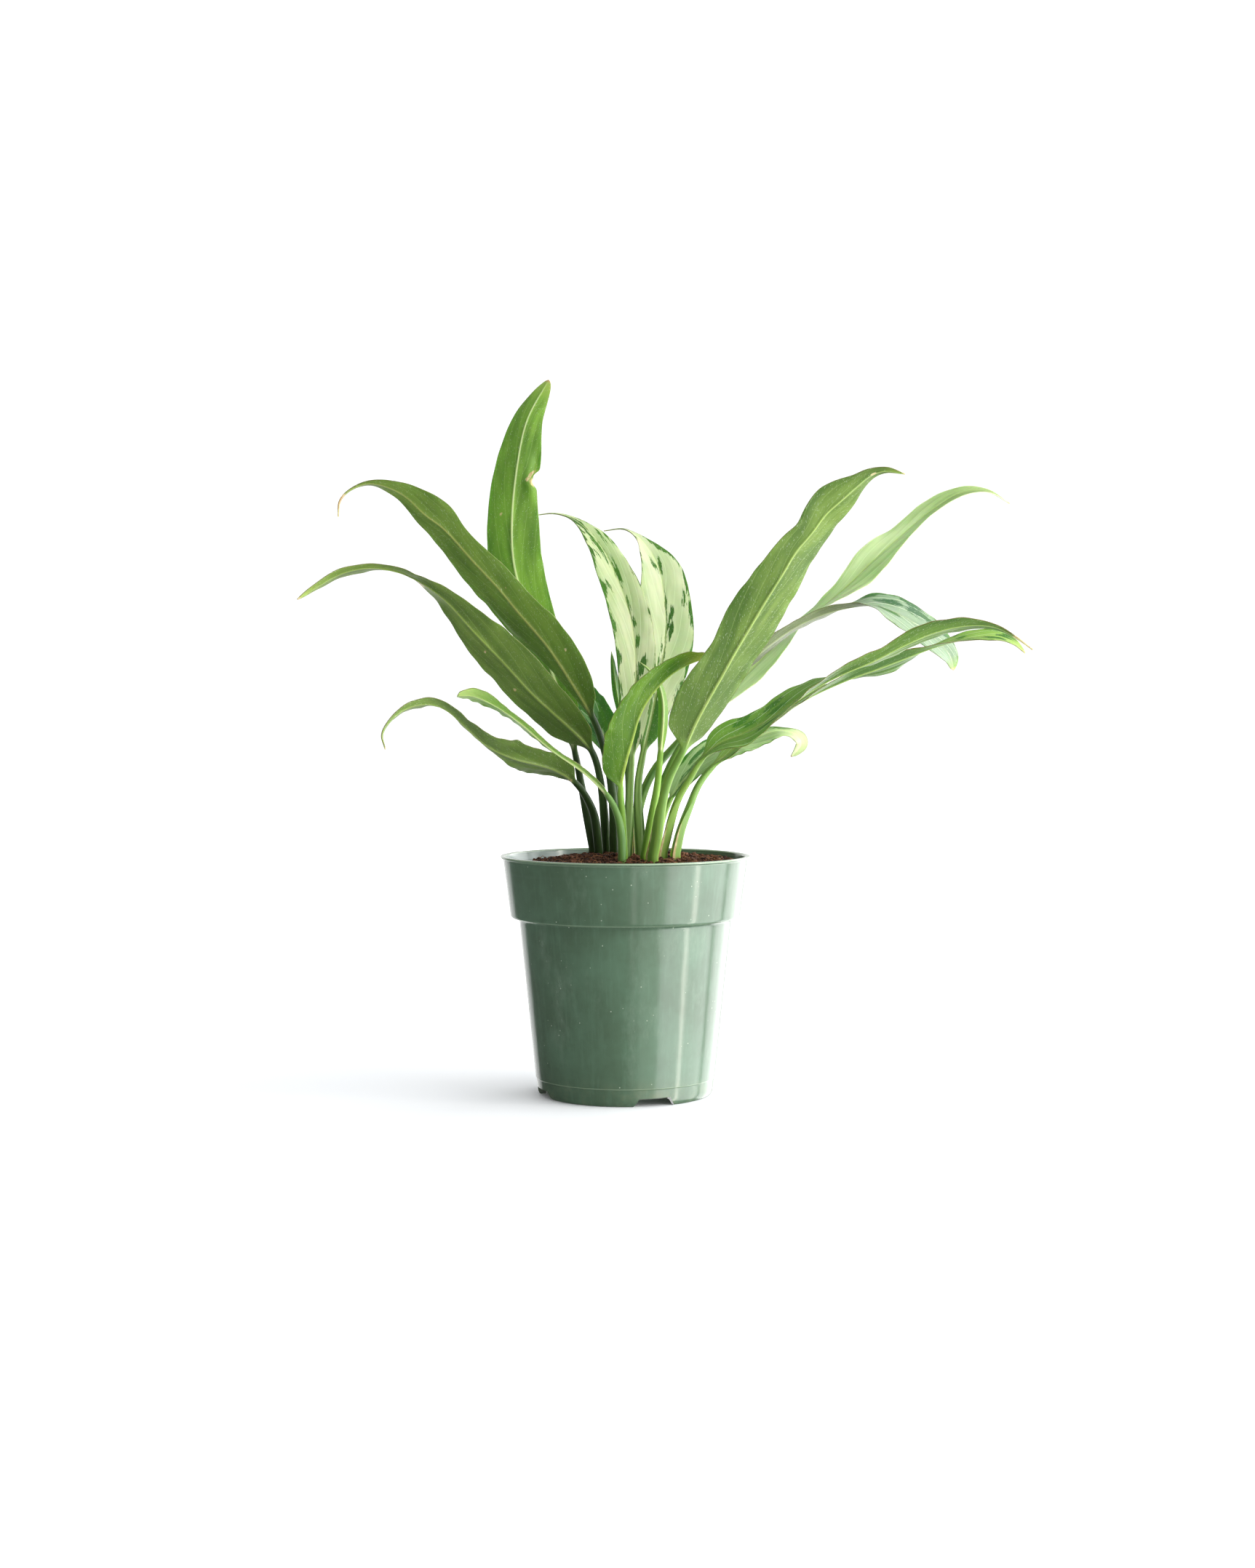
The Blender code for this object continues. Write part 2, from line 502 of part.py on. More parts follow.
def ring_faces(stations):
    """Triangles between the rings. The diagonals run alike on the upper and lower faces of the blade."""
    count = 2 * HALF_RING
    faces = []
    for i in range(stations - 1):
        for k in range(count):
            a, b = i * count + k, i * count + (k + 1) % count
            c, d = b + count, a + count
            if k < HALF_RING:
                faces += [(a, b, c), (a, c, d)]
            else:
                faces += [(a, b, d), (b, c, d)]
    faces.append(tuple(reversed(range(count))))
    faces.append(tuple(range((stations - 1) * count, stations * count)))
    return faces


def make_leaf(name, spec, collection):
    rings = leaf_rings(spec)
    mesh = bpy.data.meshes.new(name)
    mesh.from_pydata(rings.reshape(-1, 3).tolist(), [], ring_faces(len(rings)))
    obj = add_object(name, mesh, collection)
    mesh.shade_smooth()
    mesh.set_sharp_from_angle(angle=math.radians(60))
    pale = "variegated" in name
    add_material(obj, (0.35, 0.5, 0.24) if pale else (0.12, 0.26, 0.05), 0.45)


def main():
    clear_scene()
    plant = add_collection("potted_chinese_evergreen")
    cutters = add_collection("cutters")
    make_pot(plant, cutters)
    make_mix(plant, cutters)
    for name, spec in LEAVES.items():
        make_leaf(name, spec, plant)


main()
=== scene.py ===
"""A potted Chinese evergreen, dressed: a green nursery pot, its potting mix and seventeen leaves.

Metres, +Z up, the front towards -Y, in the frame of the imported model. Leaf tables are in millimetres, with
heights above the pot's rim.
"""

import math

import bpy
import numpy as np
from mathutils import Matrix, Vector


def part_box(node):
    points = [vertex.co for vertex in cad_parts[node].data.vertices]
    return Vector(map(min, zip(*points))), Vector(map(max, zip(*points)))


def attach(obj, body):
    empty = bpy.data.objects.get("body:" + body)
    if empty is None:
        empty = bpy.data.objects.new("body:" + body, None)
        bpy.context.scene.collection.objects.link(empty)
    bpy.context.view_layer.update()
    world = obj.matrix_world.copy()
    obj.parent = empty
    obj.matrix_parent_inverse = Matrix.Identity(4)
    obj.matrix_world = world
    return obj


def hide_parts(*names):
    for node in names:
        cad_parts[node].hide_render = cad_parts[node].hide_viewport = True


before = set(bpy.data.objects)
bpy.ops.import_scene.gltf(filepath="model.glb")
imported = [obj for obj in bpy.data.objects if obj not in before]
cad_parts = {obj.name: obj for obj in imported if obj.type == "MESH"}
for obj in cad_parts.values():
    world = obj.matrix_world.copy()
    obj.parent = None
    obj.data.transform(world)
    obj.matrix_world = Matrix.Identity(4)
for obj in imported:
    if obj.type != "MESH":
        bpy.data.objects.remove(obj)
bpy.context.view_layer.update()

MM = 0.001

# The pot is a round nursery pot, moulded in one piece from thin green polypropylene, with a flared lip, a
# deep rim band, a tapering body and a foot. Four notches cut through the foot let the water out.

rim_radius, _, rim_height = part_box("pot")[1]
lip_depth = 1.6 * MM
lip_reach = 1.8 * MM
lip_root = rim_radius - lip_reach
band_bottom = rim_height - 41 * MM
band_bottom_radius = 76.2 * MM
body_top_radius = 70.4 * MM
body_bottom_radius = 59.4 * MM
foot_line = 11.6 * MM
foot_radius = 55.8 * MM
wall = 1.7 * MM
floor_underside = 3 * MM
floor_top = floor_underside + wall
foot_ring = 3 * MM
POT_SIDES = 240
NOTCHES = 4
FIRST_NOTCH = math.radians(-70.5)


def linear(code):
    """A colour code such as 5f9a45 as linear red, green and blue."""
    parts = [int(code[i:i + 2], 16) / 255 for i in (0, 2, 4)]
    return tuple(c / 12.92 if c <= 0.04045 else ((c + 0.055) / 1.055) ** 2.4 for c in parts)


def new_piece(name, points, faces):
    """A mesh object from lists of points and faces, put into the scene."""
    mesh = bpy.data.meshes.new(name)
    mesh.from_pydata(points, [], faces)
    obj = bpy.data.objects.new(name, mesh)
    bpy.context.collection.objects.link(obj)
    return obj


def surface(name, rings, smooth_angle=None):
    """A closed mesh object from rings of points, an array of rings by points by three.

    Each quad joins a point and the next round the ring to the same two of the next ring. The first and the
    last ring are closed by one flat face each, and all faces are turned outwards by the volume's sign.
    """
    count, around = rings.shape[:2]
    points = rings.reshape(-1, 3)
    ring, place = np.meshgrid(np.arange(count - 1), np.arange(around), indexing="ij")
    a = ring * around + place
    b = ring * around + (place + 1) % around
    quads = np.stack([a, b, b + around, a + around], axis=-1).reshape(-1, 4)
    corner = points[quads] - points.mean(0)
    volume = np.einsum("ij,ij->", corner[:, 0], np.cross(corner[:, 1], corner[:, 2]))
    volume += np.einsum("ij,ij->", corner[:, 0], np.cross(corner[:, 2], corner[:, 3]))
    ends = [list(range(around))[::-1], list(range((count - 1) * around, count * around))]
    if volume < 0:
        quads = quads[:, ::-1]
        ends = [end[::-1] for end in ends]
    obj = new_piece(name, points.tolist(), quads.tolist() + ends)
    obj.data.shade_smooth()
    if smooth_angle is not None:
        obj.data.set_sharp_from_angle(angle=math.radians(smooth_angle))
    return obj


def revolved(profile, sides):
    """Rings of a profile of radius and height carried once round Z."""
    angle = np.linspace(0, math.tau, sides, endpoint=False)
    radius, height = np.array(profile).T
    flat = np.stack([np.cos(angle), np.sin(angle)], axis=-1)
    across = radius[:, None, None] * flat
    up = np.broadcast_to(height[:, None, None], (len(height), sides, 1))
    return np.concatenate([across, up], axis=-1)


def bend(start, corner, end, count=6):
    """Points of a rounded corner: a quadratic curve from start to end that the corner pulls."""
    t = np.linspace(0, 1, count)[:, None]
    curve = (1 - t) ** 2 * np.array(start) + 2 * t * (1 - t) * np.array(corner) + t ** 2 * np.array(end)
    return [tuple(point) for point in curve]


def body_radius(height):
    """Outer radius of the tapering body at a height: a straight line from the foot to the band."""
    share = (height - foot_line) / (band_bottom - foot_line)
    return body_bottom_radius + share * (body_top_radius - body_bottom_radius)


def pot_profile():
    """Inside floor, up the inner wall, over the lip, down the outside and back under the raised floor."""
    inner_foot = body_bottom_radius - wall
    inner_step = band_bottom_radius - wall
    shelf = band_bottom + wall
    lip_bottom = rim_height - lip_depth
    points = [(4 * MM, floor_top)]
    points += bend((inner_foot - 7 * MM, floor_top), (inner_foot - 1 * MM, floor_top),
                   (body_radius(foot_line) - wall, foot_line))
    points += bend((body_radius(band_bottom - 4 * MM) - wall, band_bottom - 4 * MM),
                   (body_radius(band_bottom) - wall, shelf), (inner_step - 2 * MM, shelf))
    points += bend((inner_step - 1.6 * MM, shelf), (inner_step, shelf),
                   (inner_step + 0.1 * MM, shelf + 2.2 * MM))
    points += bend((lip_root - wall, lip_bottom), (lip_root - wall * 0.9, rim_height - 0.1 * MM),
                   (lip_root - wall * 0.3, rim_height - 0.05 * MM))
    points += bend((rim_radius - 0.7 * MM, rim_height), (rim_radius, rim_height),
                   (rim_radius, rim_height - 0.6 * MM))
    points += bend((rim_radius, lip_bottom + 0.5 * MM), (rim_radius, lip_bottom),
                   (rim_radius - 0.5 * MM, lip_bottom))
    points += bend((lip_root + 0.6 * MM, lip_bottom), (lip_root, lip_bottom),
                   (lip_root, lip_bottom - 1.2 * MM))
    points += bend((band_bottom_radius, band_bottom + 2.6 * MM), (band_bottom_radius - 0.1 * MM, band_bottom),
                   (band_bottom_radius - 2.6 * MM, band_bottom), 9)
    points += bend((body_top_radius + 1.6 * MM, band_bottom - 0.1 * MM),
                   (body_top_radius, band_bottom - 0.2 * MM),
                   (body_radius(band_bottom - 2.4 * MM), band_bottom - 2.4 * MM))
    points += [(body_radius(foot_line + 1 * MM), foot_line + 1 * MM)]
    points += bend((body_bottom_radius, foot_line), (body_bottom_radius - 0.5 * MM, foot_line - 0.1 * MM),
                   (body_bottom_radius - 0.5 * MM, foot_line - 0.9 * MM), 4)
    points += bend((body_bottom_radius - 1.0 * MM, 5.2 * MM), (body_bottom_radius - 1.6 * MM, 0.2 * MM),
                   (foot_radius, 0), 9)
    points += [(foot_radius - foot_ring, 0), (foot_radius - foot_ring - 0.6 * MM, floor_underside)]
    points += [(4 * MM, floor_underside)]
    return points


def notch_block(angle):
    """A block across the foot, narrower at its top, as a ring at its inner end and one at its outer end."""
    notch_inner, notch_outer = 47 * MM, 64 * MM
    low, high = -2 * MM, 5.6 * MM
    foot_half, top_half = 15.05 * MM, 10.5 * MM
    section = np.array([(-foot_half, low), (foot_half, low), (top_half, high), (-top_half, high)])
    along = np.array([notch_inner, notch_outer])[:, None]
    across = section[:, 0]
    x = along * math.cos(angle) - across * math.sin(angle)
    y = along * math.sin(angle) + across * math.cos(angle)
    return np.stack([x, y, np.broadcast_to(section[:, 1], x.shape)], axis=-1)


def cut_notches(pot):
    """Cuts the drainage notches through the pot's foot."""
    for i in range(NOTCHES):
        block = surface("notch", notch_block(FIRST_NOTCH + i * math.tau / NOTCHES))
        cut = pot.modifiers.new("Notch", "BOOLEAN")
        cut.operation = "DIFFERENCE"
        cut.object = block
        graph = bpy.context.evaluated_depsgraph_get()
        pot.data = bpy.data.meshes.new_from_object(pot.evaluated_get(graph))
        pot.modifiers.clear()
        bpy.data.objects.remove(block)


def feed(tree, socket, value):
    """Links another node's output to the socket, or sets the socket's own value, a colour by its code."""
    if isinstance(value, bpy.types.NodeSocket):
        tree.links.new(value, socket)
    elif isinstance(value, str):
        socket.default_value = (*linear(value), 1)
    else:
        socket.default_value = value


def calc(tree, operation, *values):
    """The output of one Math node."""
    made = tree.nodes.new("ShaderNodeMath")
    made.operation = operation
    for socket, value in zip(made.inputs, values):
        feed(tree, socket, value)
    return made.outputs[0]


def plus(tree, first, second):
    """The sum of two values."""
    return calc(tree, "ADD", first, second)


def times(tree, first, second):
    """The product of two values."""
    return calc(tree, "MULTIPLY", first, second)


def ramp(tree, value, low, high, out_low=0.0, out_high=1.0):
    """A smooth step of the value from low to high."""
    made = tree.nodes.new("ShaderNodeMapRange")
    made.interpolation_type = "SMOOTHSTEP"
    for socket, number in zip(made.inputs, (value, low, high, out_low, out_high)):
        feed(tree, socket, number)
    return made.outputs[0]


def laid(tree, share, under, over):
    """The colour under with the colour over laid on it by a share from 0 to 1."""
    made = tree.nodes.new("ShaderNodeMix")
    made.data_type = "RGBA"
    feed(tree, made.inputs[0], share)
    feed(tree, made.inputs[6], under)
    feed(tree, made.inputs[7], over)
    return made.outputs[2]


def noise(tree, place, scale, detail=3.0, roughness=0.5):
    """A Noise Texture's value, about 0.5 on average. Three scales stretch it, one for each axis."""
    made = tree.nodes.new("ShaderNodeTexNoise")
    if isinstance(scale, tuple):
        stretch = tree.nodes.new("ShaderNodeMapping")
        feed(tree, stretch.inputs["Vector"], place)
        stretch.inputs["Scale"].default_value = scale
        place, scale = stretch.outputs[0], 1
    feed(tree, made.inputs["Vector"], place)
    made.inputs["Scale"].default_value = scale
    made.inputs["Detail"].default_value = detail
    made.inputs["Roughness"].default_value = roughness
    return made.outputs["Fac"]


def split(tree, vector):
    """The three parts of a vector."""
    made = tree.nodes.new("ShaderNodeSeparateXYZ")
    feed(tree, made.inputs[0], vector)
    return made.outputs


def own_place(tree):
    """The place on the piece, in metres."""
    return tree.nodes.new("ShaderNodeTexCoord").outputs["Object"]


def from_axis(tree, x, y):
    """The distance from an upright axis: the root of the sum of both squares."""
    squares = [calc(tree, "POWER", side, 2.0) for side in (x, y)]
    return calc(tree, "SQRT", plus(tree, *squares))


def bumped(tree, height, distance, strength):
    """A normal tilted by the slope of the height."""
    made = tree.nodes.new("ShaderNodeBump")
    made.inputs["Distance"].default_value = distance
    made.inputs["Strength"].default_value = strength
    feed(tree, made.inputs["Height"], height)
    return made.outputs[0]


def new_finish(name, **sockets):
    """A material, its node tree and its Principled shader, with the sockets that stay constant set."""
    material = bpy.data.materials.new(name)
    material.use_nodes = True
    shader = material.node_tree.nodes["Principled BSDF"]
    for socket, value in sockets.items():
        feed(material.node_tree, shader.inputs[socket.replace("_", " ")], value)
    return material, material.node_tree, shader


def pot_plastic():
    """Glossy green plastic with flow streaks, water stains, dust specks and paler lines along its edges.

    A pale bluish painted reflection lies on the inner wall above the mix, strongest at the left, and earth
    clings low down on the outside.
    """
    material, tree, shader = new_finish("pot_plastic", Specular_IOR_Level=0.5, Metallic=0.0)
    place = own_place(tree)
    x, y, height = split(tree, place)
    clouds = noise(tree, place, 22, 4, 0.6)
    streaks = noise(tree, place, (260, 260, 12), 4, 0.65)
    colour = laid(tree, ramp(tree, clouds, 0.32, 0.7), "4d634e", "58735d")
    colour = laid(tree, ramp(tree, streaks, 0.45, 0.8, 0, 0.2), colour, "6f9078")
    film = ramp(tree, noise(tree, place, (38, 38, 17), 6, 0.7), 0.52, 0.75, 0, 0.2)
    colour = laid(tree, film, colour, "93a894")
    cells = tree.nodes.new("ShaderNodeTexVoronoi")
    feed(tree, cells.inputs["Vector"], place)
    cells.inputs["Scale"].default_value = 210
    speck = ramp(tree, cells.outputs["Distance"], 0.03, 0.11, 1, 0)
    speck = times(tree, speck, ramp(tree, noise(tree, place, 60, 2), 0.5, 0.6))
    colour = laid(tree, times(tree, speck, 0.75), colour, "c3cdb9")
    edges = [(rim_height - 0.5 * MM, 0.8 * MM, 0.8), (band_bottom + 0.3 * MM, 1.1 * MM, 0.3),
             (foot_line, 0.5 * MM, 0.5), (rim_height - lip_depth - 0.6 * MM, 0.7 * MM, 0.25)]
    for edge, reach, share in edges:
        near = calc(tree, "ABSOLUTE", calc(tree, "SUBTRACT", height, edge))
        colour = laid(tree, ramp(tree, near, 0, reach, share, 0), colour, "a3b79a")
    inside = ramp(tree, from_axis(tree, x, y), lip_root - 1.3 * wall, lip_root - 0.5 * wall, 1, 0)
    inside = times(tree, inside, ramp(tree, height, rim_height - 12 * MM, rim_height - 9 * MM))
    # Painted reflection: the inner wall above the mix is laid pale bluish, most at the left.
    painted_inner_reflection = times(tree, inside, ramp(tree, x, -75 * MM, 10 * MM, 0.75, 0.1))
    colour = laid(tree, painted_inner_reflection, colour, "b7c6c6")
    low = ramp(tree, height, 0, 22 * MM, 0.4, 0)
    earth = times(tree, low, ramp(tree, noise(tree, place, 45, 5, 0.7), 0.42, 0.7))
    colour = laid(tree, earth, colour, "7d7a5c")
    feed(tree, shader.inputs["Base Color"], colour)
    rough = plus(tree, 0.17, times(tree, film, 0.7))
    feed(tree, shader.inputs["Roughness"], plus(tree, rough, times(tree, speck, 0.4)))
    flow = noise(tree, place, (90, 90, 14))
    feed(tree, shader.inputs["Normal"], bumped(tree, flow, 0.5 * MM, 0.25))
    return material


pot = surface("nursery_pot", revolved(pot_profile(), POT_SIDES))
cut_notches(pot)
pot.data.shade_smooth()
pot.data.set_sharp_from_angle(angle=math.radians(32))
pot.data.materials.append(pot_plastic())
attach(pot, "root")
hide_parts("pot")

# The potting mix is peat with coir: a crumbly reddish brown fill that stands just under the rim, higher in
# the middle and lower at the left and along the wall. It is one loose body, poured in round the roots, and
# the stalks stand in it at the feet given here, x and y in millimetres.

mix_middle = rim_height - 2.2 * MM
mix_gap = 0.3 * MM
wall_fall = 5 * MM
left_fall = 5 * MM
front_fall = 4 * MM
lump_height = 0.66 * MM
grain_length = 5 * MM
stalk_room = 3 * MM
STALK_FEET = {
    "leaf_tall_left": (-22, 48), "leaf_upper_left": (-7.5, 36.5), "leaf_lower_left": (-12.5, 45),
    "leaf_torn_left": (-2, -29), "leaf_drooping_left": (-18, 36), "leaf_young_front": (-1, -17),
    "leaf_rolled_young": (12.5, -16), "leaf_large_right": (18.4, -30), "leaf_shaded_left": (-4, 56),
    "leaf_variegated_left": (1, 4), "leaf_variegated_right": (10, 12), "leaf_spear_back": (1, 43),
    "leaf_upper_right": (6, 24), "leaf_twisted_right": (16, 26), "leaf_long_right": (25, -3),
    "leaf_long_low_right": (33.5, -6), "leaf_short_right": (20, 12),
}


def mix_height(x, y):
    """Top of the mix: a low mound with soft lumps.

    It falls to the wall by the fourth power of the radius, to the left by the square of x and to the front
    evenly, all as shares of the rim's radius. The lumps are a product of two sine waves and a third one.
    """
    radius = np.hypot(x, y) / rim_radius
    slope = wall_fall * radius ** 4 + left_fall * np.maximum(0, -x / rim_radius) ** 2
    slope = slope + front_fall * np.maximum(0, -y / rim_radius)
    lumps = np.sin(x / (5.3 * MM)) * np.cos(y / (4.1 * MM) + 0.7) + 0.6 * np.sin((x + 2 * y) / (3.7 * MM))
    return mix_middle - slope + lump_height * lumps


def inner_radius(height):
    """Inner radius of the pot at a height above the step: a straight line from the step to the lip."""
    low = band_bottom + 2 * wall
    share = (height - low) / (rim_height - lip_depth - low)
    bottom = band_bottom_radius - wall
    return bottom + share * (lip_root - band_bottom_radius)


def crumbled(x, y, seed):
    """Fine relief: sine waves of random heading in five sizes.

    Each size is 1.8 times shorter and half as high as the one before.
    """
    rng = np.random.default_rng(seed)
    height = np.zeros_like(x)
    for octave in range(5):
        for _ in range(4):
            heading = rng.uniform(0, math.tau)
            length = grain_length / 1.8 ** octave
            along = x * math.cos(heading) + y * math.sin(heading)
            height += np.sin(math.tau * along / length + rng.uniform(0, math.tau)) * 0.5 ** octave
    return height * 0.28 * MM


def mix_rings():
    """Rings of the mix: from the middle of its top out to the wall, and down along the wall to the floor."""
    sides = 200
    top_radius = inner_radius(rim_height - 8 * MM) - mix_gap
    share = np.concatenate([[0.01], np.linspace(0.02, 1, 64)])
    top = revolved([(top_radius * s, 0) for s in share], sides)
    x, y = top[..., 0], top[..., 1]
    top[..., 2] = mix_height(x, y) + crumbled(x, y, 4) * np.clip((1 - share) * 12, 0, 1)[:, None]
    edge = (inner_radius(top[-1, :, 2]) - mix_gap) / top_radius
    top[-1, :, :2] *= edge[:, None]
    floor = floor_top + mix_gap
    side = revolved([(band_bottom_radius - wall - mix_gap, band_bottom + wall * 2.4),
                     (body_radius(band_bottom) - wall - 2 * mix_gap, band_bottom + wall * 0.6),
                     (body_radius(foot_line) - wall - mix_gap, foot_line + mix_gap),
                     (body_bottom_radius - wall - 5.2 * MM, floor), (3 * MM, floor)], sides)
    return np.concatenate([top, side])


def stored(tree, title):
    """The attribute that a mesh holds under this title."""
    made = tree.nodes.new("ShaderNodeAttribute")
    made.attribute_name = title
    return made


def mix_finish(name, dark, light, size):
    """Damp peat: dark and reddish crumbs and rust coloured dust, very rough.

    The shade is stored with each crumb or fibre.
    """
    material, tree, shader = new_finish(name, Specular_IOR_Level=0.3, Roughness=0.92)
    place = own_place(tree)
    shade = calc(tree, "SUBTRACT", stored(tree, "shade").outputs["Fac"], 0.5)
    grain = noise(tree, place, size, 5, 0.7)
    colour = laid(tree, plus(tree, ramp(tree, grain, 0.3, 0.72), shade), dark, light)
    rust = ramp(tree, noise(tree, place, size * 0.4, 3), 0.55, 0.75, 0, 0.6)
    feed(tree, shader.inputs["Base Color"], laid(tree, rust, colour, "7c4c34"))
    feed(tree, shader.inputs["Normal"], bumped(tree, grain, 0.8 * MM, 0.8))
    return material


def set_shade(obj, shade):
    """Stores a shade from 0 to 1 for each point."""
    obj.data.attributes.new("shade", "FLOAT", "POINT").data.foreach_set("value", shade.astype(np.float32))


def crumb_cloud(name, count, smallest, largest, seed):
    """Crumbs as one mesh: each is a 20 sided lump, stretched and dented at random and sunk into the mound."""
    rng = np.random.default_rng(seed)
    golden = (1 + 5 ** 0.5) / 2
    ball = [(-1, golden, 0), (1, golden, 0), (-1, -golden, 0), (1, -golden, 0),
            (0, -1, golden), (0, 1, golden), (0, -1, -golden), (0, 1, -golden),
            (golden, 0, -1), (golden, 0, 1), (-golden, 0, -1), (-golden, 0, 1)]
    ball = np.array(ball) / math.hypot(1, golden)
    corners = len(ball)
    sides = [(0, 11, 5), (0, 5, 1), (0, 1, 7), (0, 7, 10), (0, 10, 11), (1, 5, 9), (5, 11, 4),
             (11, 10, 2), (10, 7, 6), (7, 1, 8), (3, 9, 4), (3, 4, 2), (3, 2, 6), (3, 6, 8),
             (3, 8, 9), (4, 9, 5), (2, 4, 11), (6, 2, 10), (8, 6, 7), (9, 8, 1)]
    size = smallest + (largest - smallest) * rng.random(count) ** 3
    radius = (inner_radius(rim_height - 6 * MM) - 1 * MM - size) * np.sqrt(rng.random(count))
    angle = rng.uniform(0, math.tau, count)
    x, y = radius * np.cos(angle), radius * np.sin(angle)
    feet = np.array(list(STALK_FEET.values())) * MM
    apart = np.hypot(x[:, None] - feet[:, 0], y[:, None] - feet[:, 1]).min(1)
    kept = apart > stalk_room + size * 0.5
    x, y, size = x[kept], y[kept], size[kept]
    z = mix_height(x, y) + size * rng.uniform(0.0, 0.6, len(size))
    stretch = rng.uniform(0.55, 1.35, (len(size), 1, 3)) * (1, 1, 0.8)
    dents = rng.uniform(0.72, 1.2, (len(size), corners, 1))
    turn = rng.uniform(0, math.tau, len(size))
    lump = ball[None] * dents * stretch * size[:, None, None]
    cos, sin = np.cos(turn)[:, None], np.sin(turn)[:, None]
    px = lump[..., 0] * cos - lump[..., 1] * sin + x[:, None]
    py = lump[..., 0] * sin + lump[..., 1] * cos + y[:, None]
    points = np.stack([px, py, lump[..., 2] + z[:, None]], axis=-1)
    faces = np.array(sides)[None] + corners * np.arange(len(size))[:, None, None]
    obj = new_piece(name, points.reshape(-1, 3).tolist(), faces.reshape(-1, 3).tolist())
    set_shade(obj, np.repeat(rng.random(len(size)), corners))
    return obj


def tube_mesh(name, paths, radius, sides):
    """Tubes as one mesh: a ring of points carried along each path, closed at both ends.

    paths is an array of tubes by stations by three.
    """
    tubes, stations = paths.shape[:2]
    ahead = np.gradient(paths, axis=1)
    ahead /= np.linalg.norm(ahead, axis=2, keepdims=True)
    side = np.cross(ahead, (0.13, 0.21, 1.0))
    side /= np.linalg.norm(side, axis=2, keepdims=True)
    other = np.cross(ahead, side)
    angle = np.linspace(0, math.tau, sides, endpoint=False)
    ring = side[:, :, None] * np.cos(angle)[:, None] + other[:, :, None] * np.sin(angle)[:, None]
    points = paths[:, :, None] + ring * radius
    k = np.arange(stations - 1)[:, None] * sides
    j = np.arange(sides)[None]
    one = np.stack([k + j, k + (j + 1) % sides, k + (j + 1) % sides + sides, k + j + sides], axis=-1)
    one = one.reshape(-1, 4)
    quads = (one[None] + stations * sides * np.arange(tubes)[:, None, None]).reshape(-1, 4).tolist()
    caps = []
    for i in range(tubes):
        first = i * stations * sides
        last = first + (stations - 1) * sides
        caps += [list(range(first, first + sides))[::-1], list(range(last, last + sides))]
    obj = new_piece(name, points.reshape(-1, 3).tolist(), quads + caps)
    obj.data.shade_smooth()
    return obj


def fibre_paths(count, seed):
    """Short curly coir fibres lying on the mound: arcs of random length, heading, curl and lift.

    Each is a run of equal steps whose heading turns evenly, and it is lifted by half a sine wave.
    """
    rng = np.random.default_rng(seed)
    stations = 9
    t = np.linspace(0, 1, stations)[None]
    radius = 70 * MM * np.sqrt(rng.random((count, 1)))
    angle = rng.uniform(0, math.tau, (count, 1))
    length = rng.uniform(3, 13, (count, 1)) * MM
    heading = rng.uniform(0, math.tau, (count, 1)) + rng.uniform(-2.2, 2.2, (count, 1)) * t
    x = radius * np.cos(angle) + np.cumsum(np.cos(heading), axis=1) * length / stations
    y = radius * np.sin(angle) + np.cumsum(np.sin(heading), axis=1) * length / stations
    out = np.maximum(np.hypot(x, y) / (inner_radius(rim_height) - 2 * MM), 1)
    x, y = x / out, y / out
    lift = rng.uniform(0.3, 2.4, (count, 1)) * MM
    z = mix_height(x, y) + 0.9 * MM + lift * np.sin(math.pi * t) * rng.uniform(0.2, 1, (count, 1))
    return np.stack([x, y, z], axis=-1)


mix = surface("mix_body", mix_rings())
set_shade(mix, np.full(len(mix.data.vertices), 0.35))
mix.data.materials.append(mix_finish("peat", "1d120d", "4a2e20", 420))
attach(mix, "root")
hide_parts("potting_mix")

crumbs = crumb_cloud("mix_crumbs", 3400, 0.6 * MM, 2.6 * MM, 11)
crumbs.data.materials.append(mix_finish("peat_crumbs", "24160f", "6e4632", 500))
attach(crumbs, "root")

FIBRE_SIDES = 5
paths = fibre_paths(420, 12)
fibres = tube_mesh("mix_fibres", paths, 0.17 * MM, FIBRE_SIDES)
rng = np.random.default_rng(13)
set_shade(fibres, np.repeat(rng.random(len(paths)), paths.shape[1] * FIBRE_SIDES))
fibres.data.materials.append(mix_finish("coir", "4a2d1e", "a2744f", 300))
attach(fibres, "root")

# A leaf grows as one piece: a fleshy stalk, green and nearly round, that flattens into a thin blade. The
# blade's underside is plain green with a raised pale midrib, and its upper side is silver green with dark
# green along the midrib and the margins. Side veins run forward from the midrib in long arcs.

FRONT_VIEW_POINT = (1.5, -1510, 100)
ROUTE_STEPS = 12
STALK_PITCH = 2.2 * MM
BLADE_PITCH = 1.1 * MM
BLADE_ACROSS = 33
VEIN_LEAD = 0.45
VEIN_BOW = 1.15
VEIN_STAGGER = 0.35
STALK_DEPTH = 31.5 * MM
FLAT_FROM = 0.06
SKIN_HALF = 0.33 * MM
RIB_HEIGHT = 1.2 * MM
RIB_ROUNDING = 0.0012
GROOVE_DEPTH = 0.35 * MM
STALK_GROOVE = 0.28
SHEATH_WIDTH = 3.0


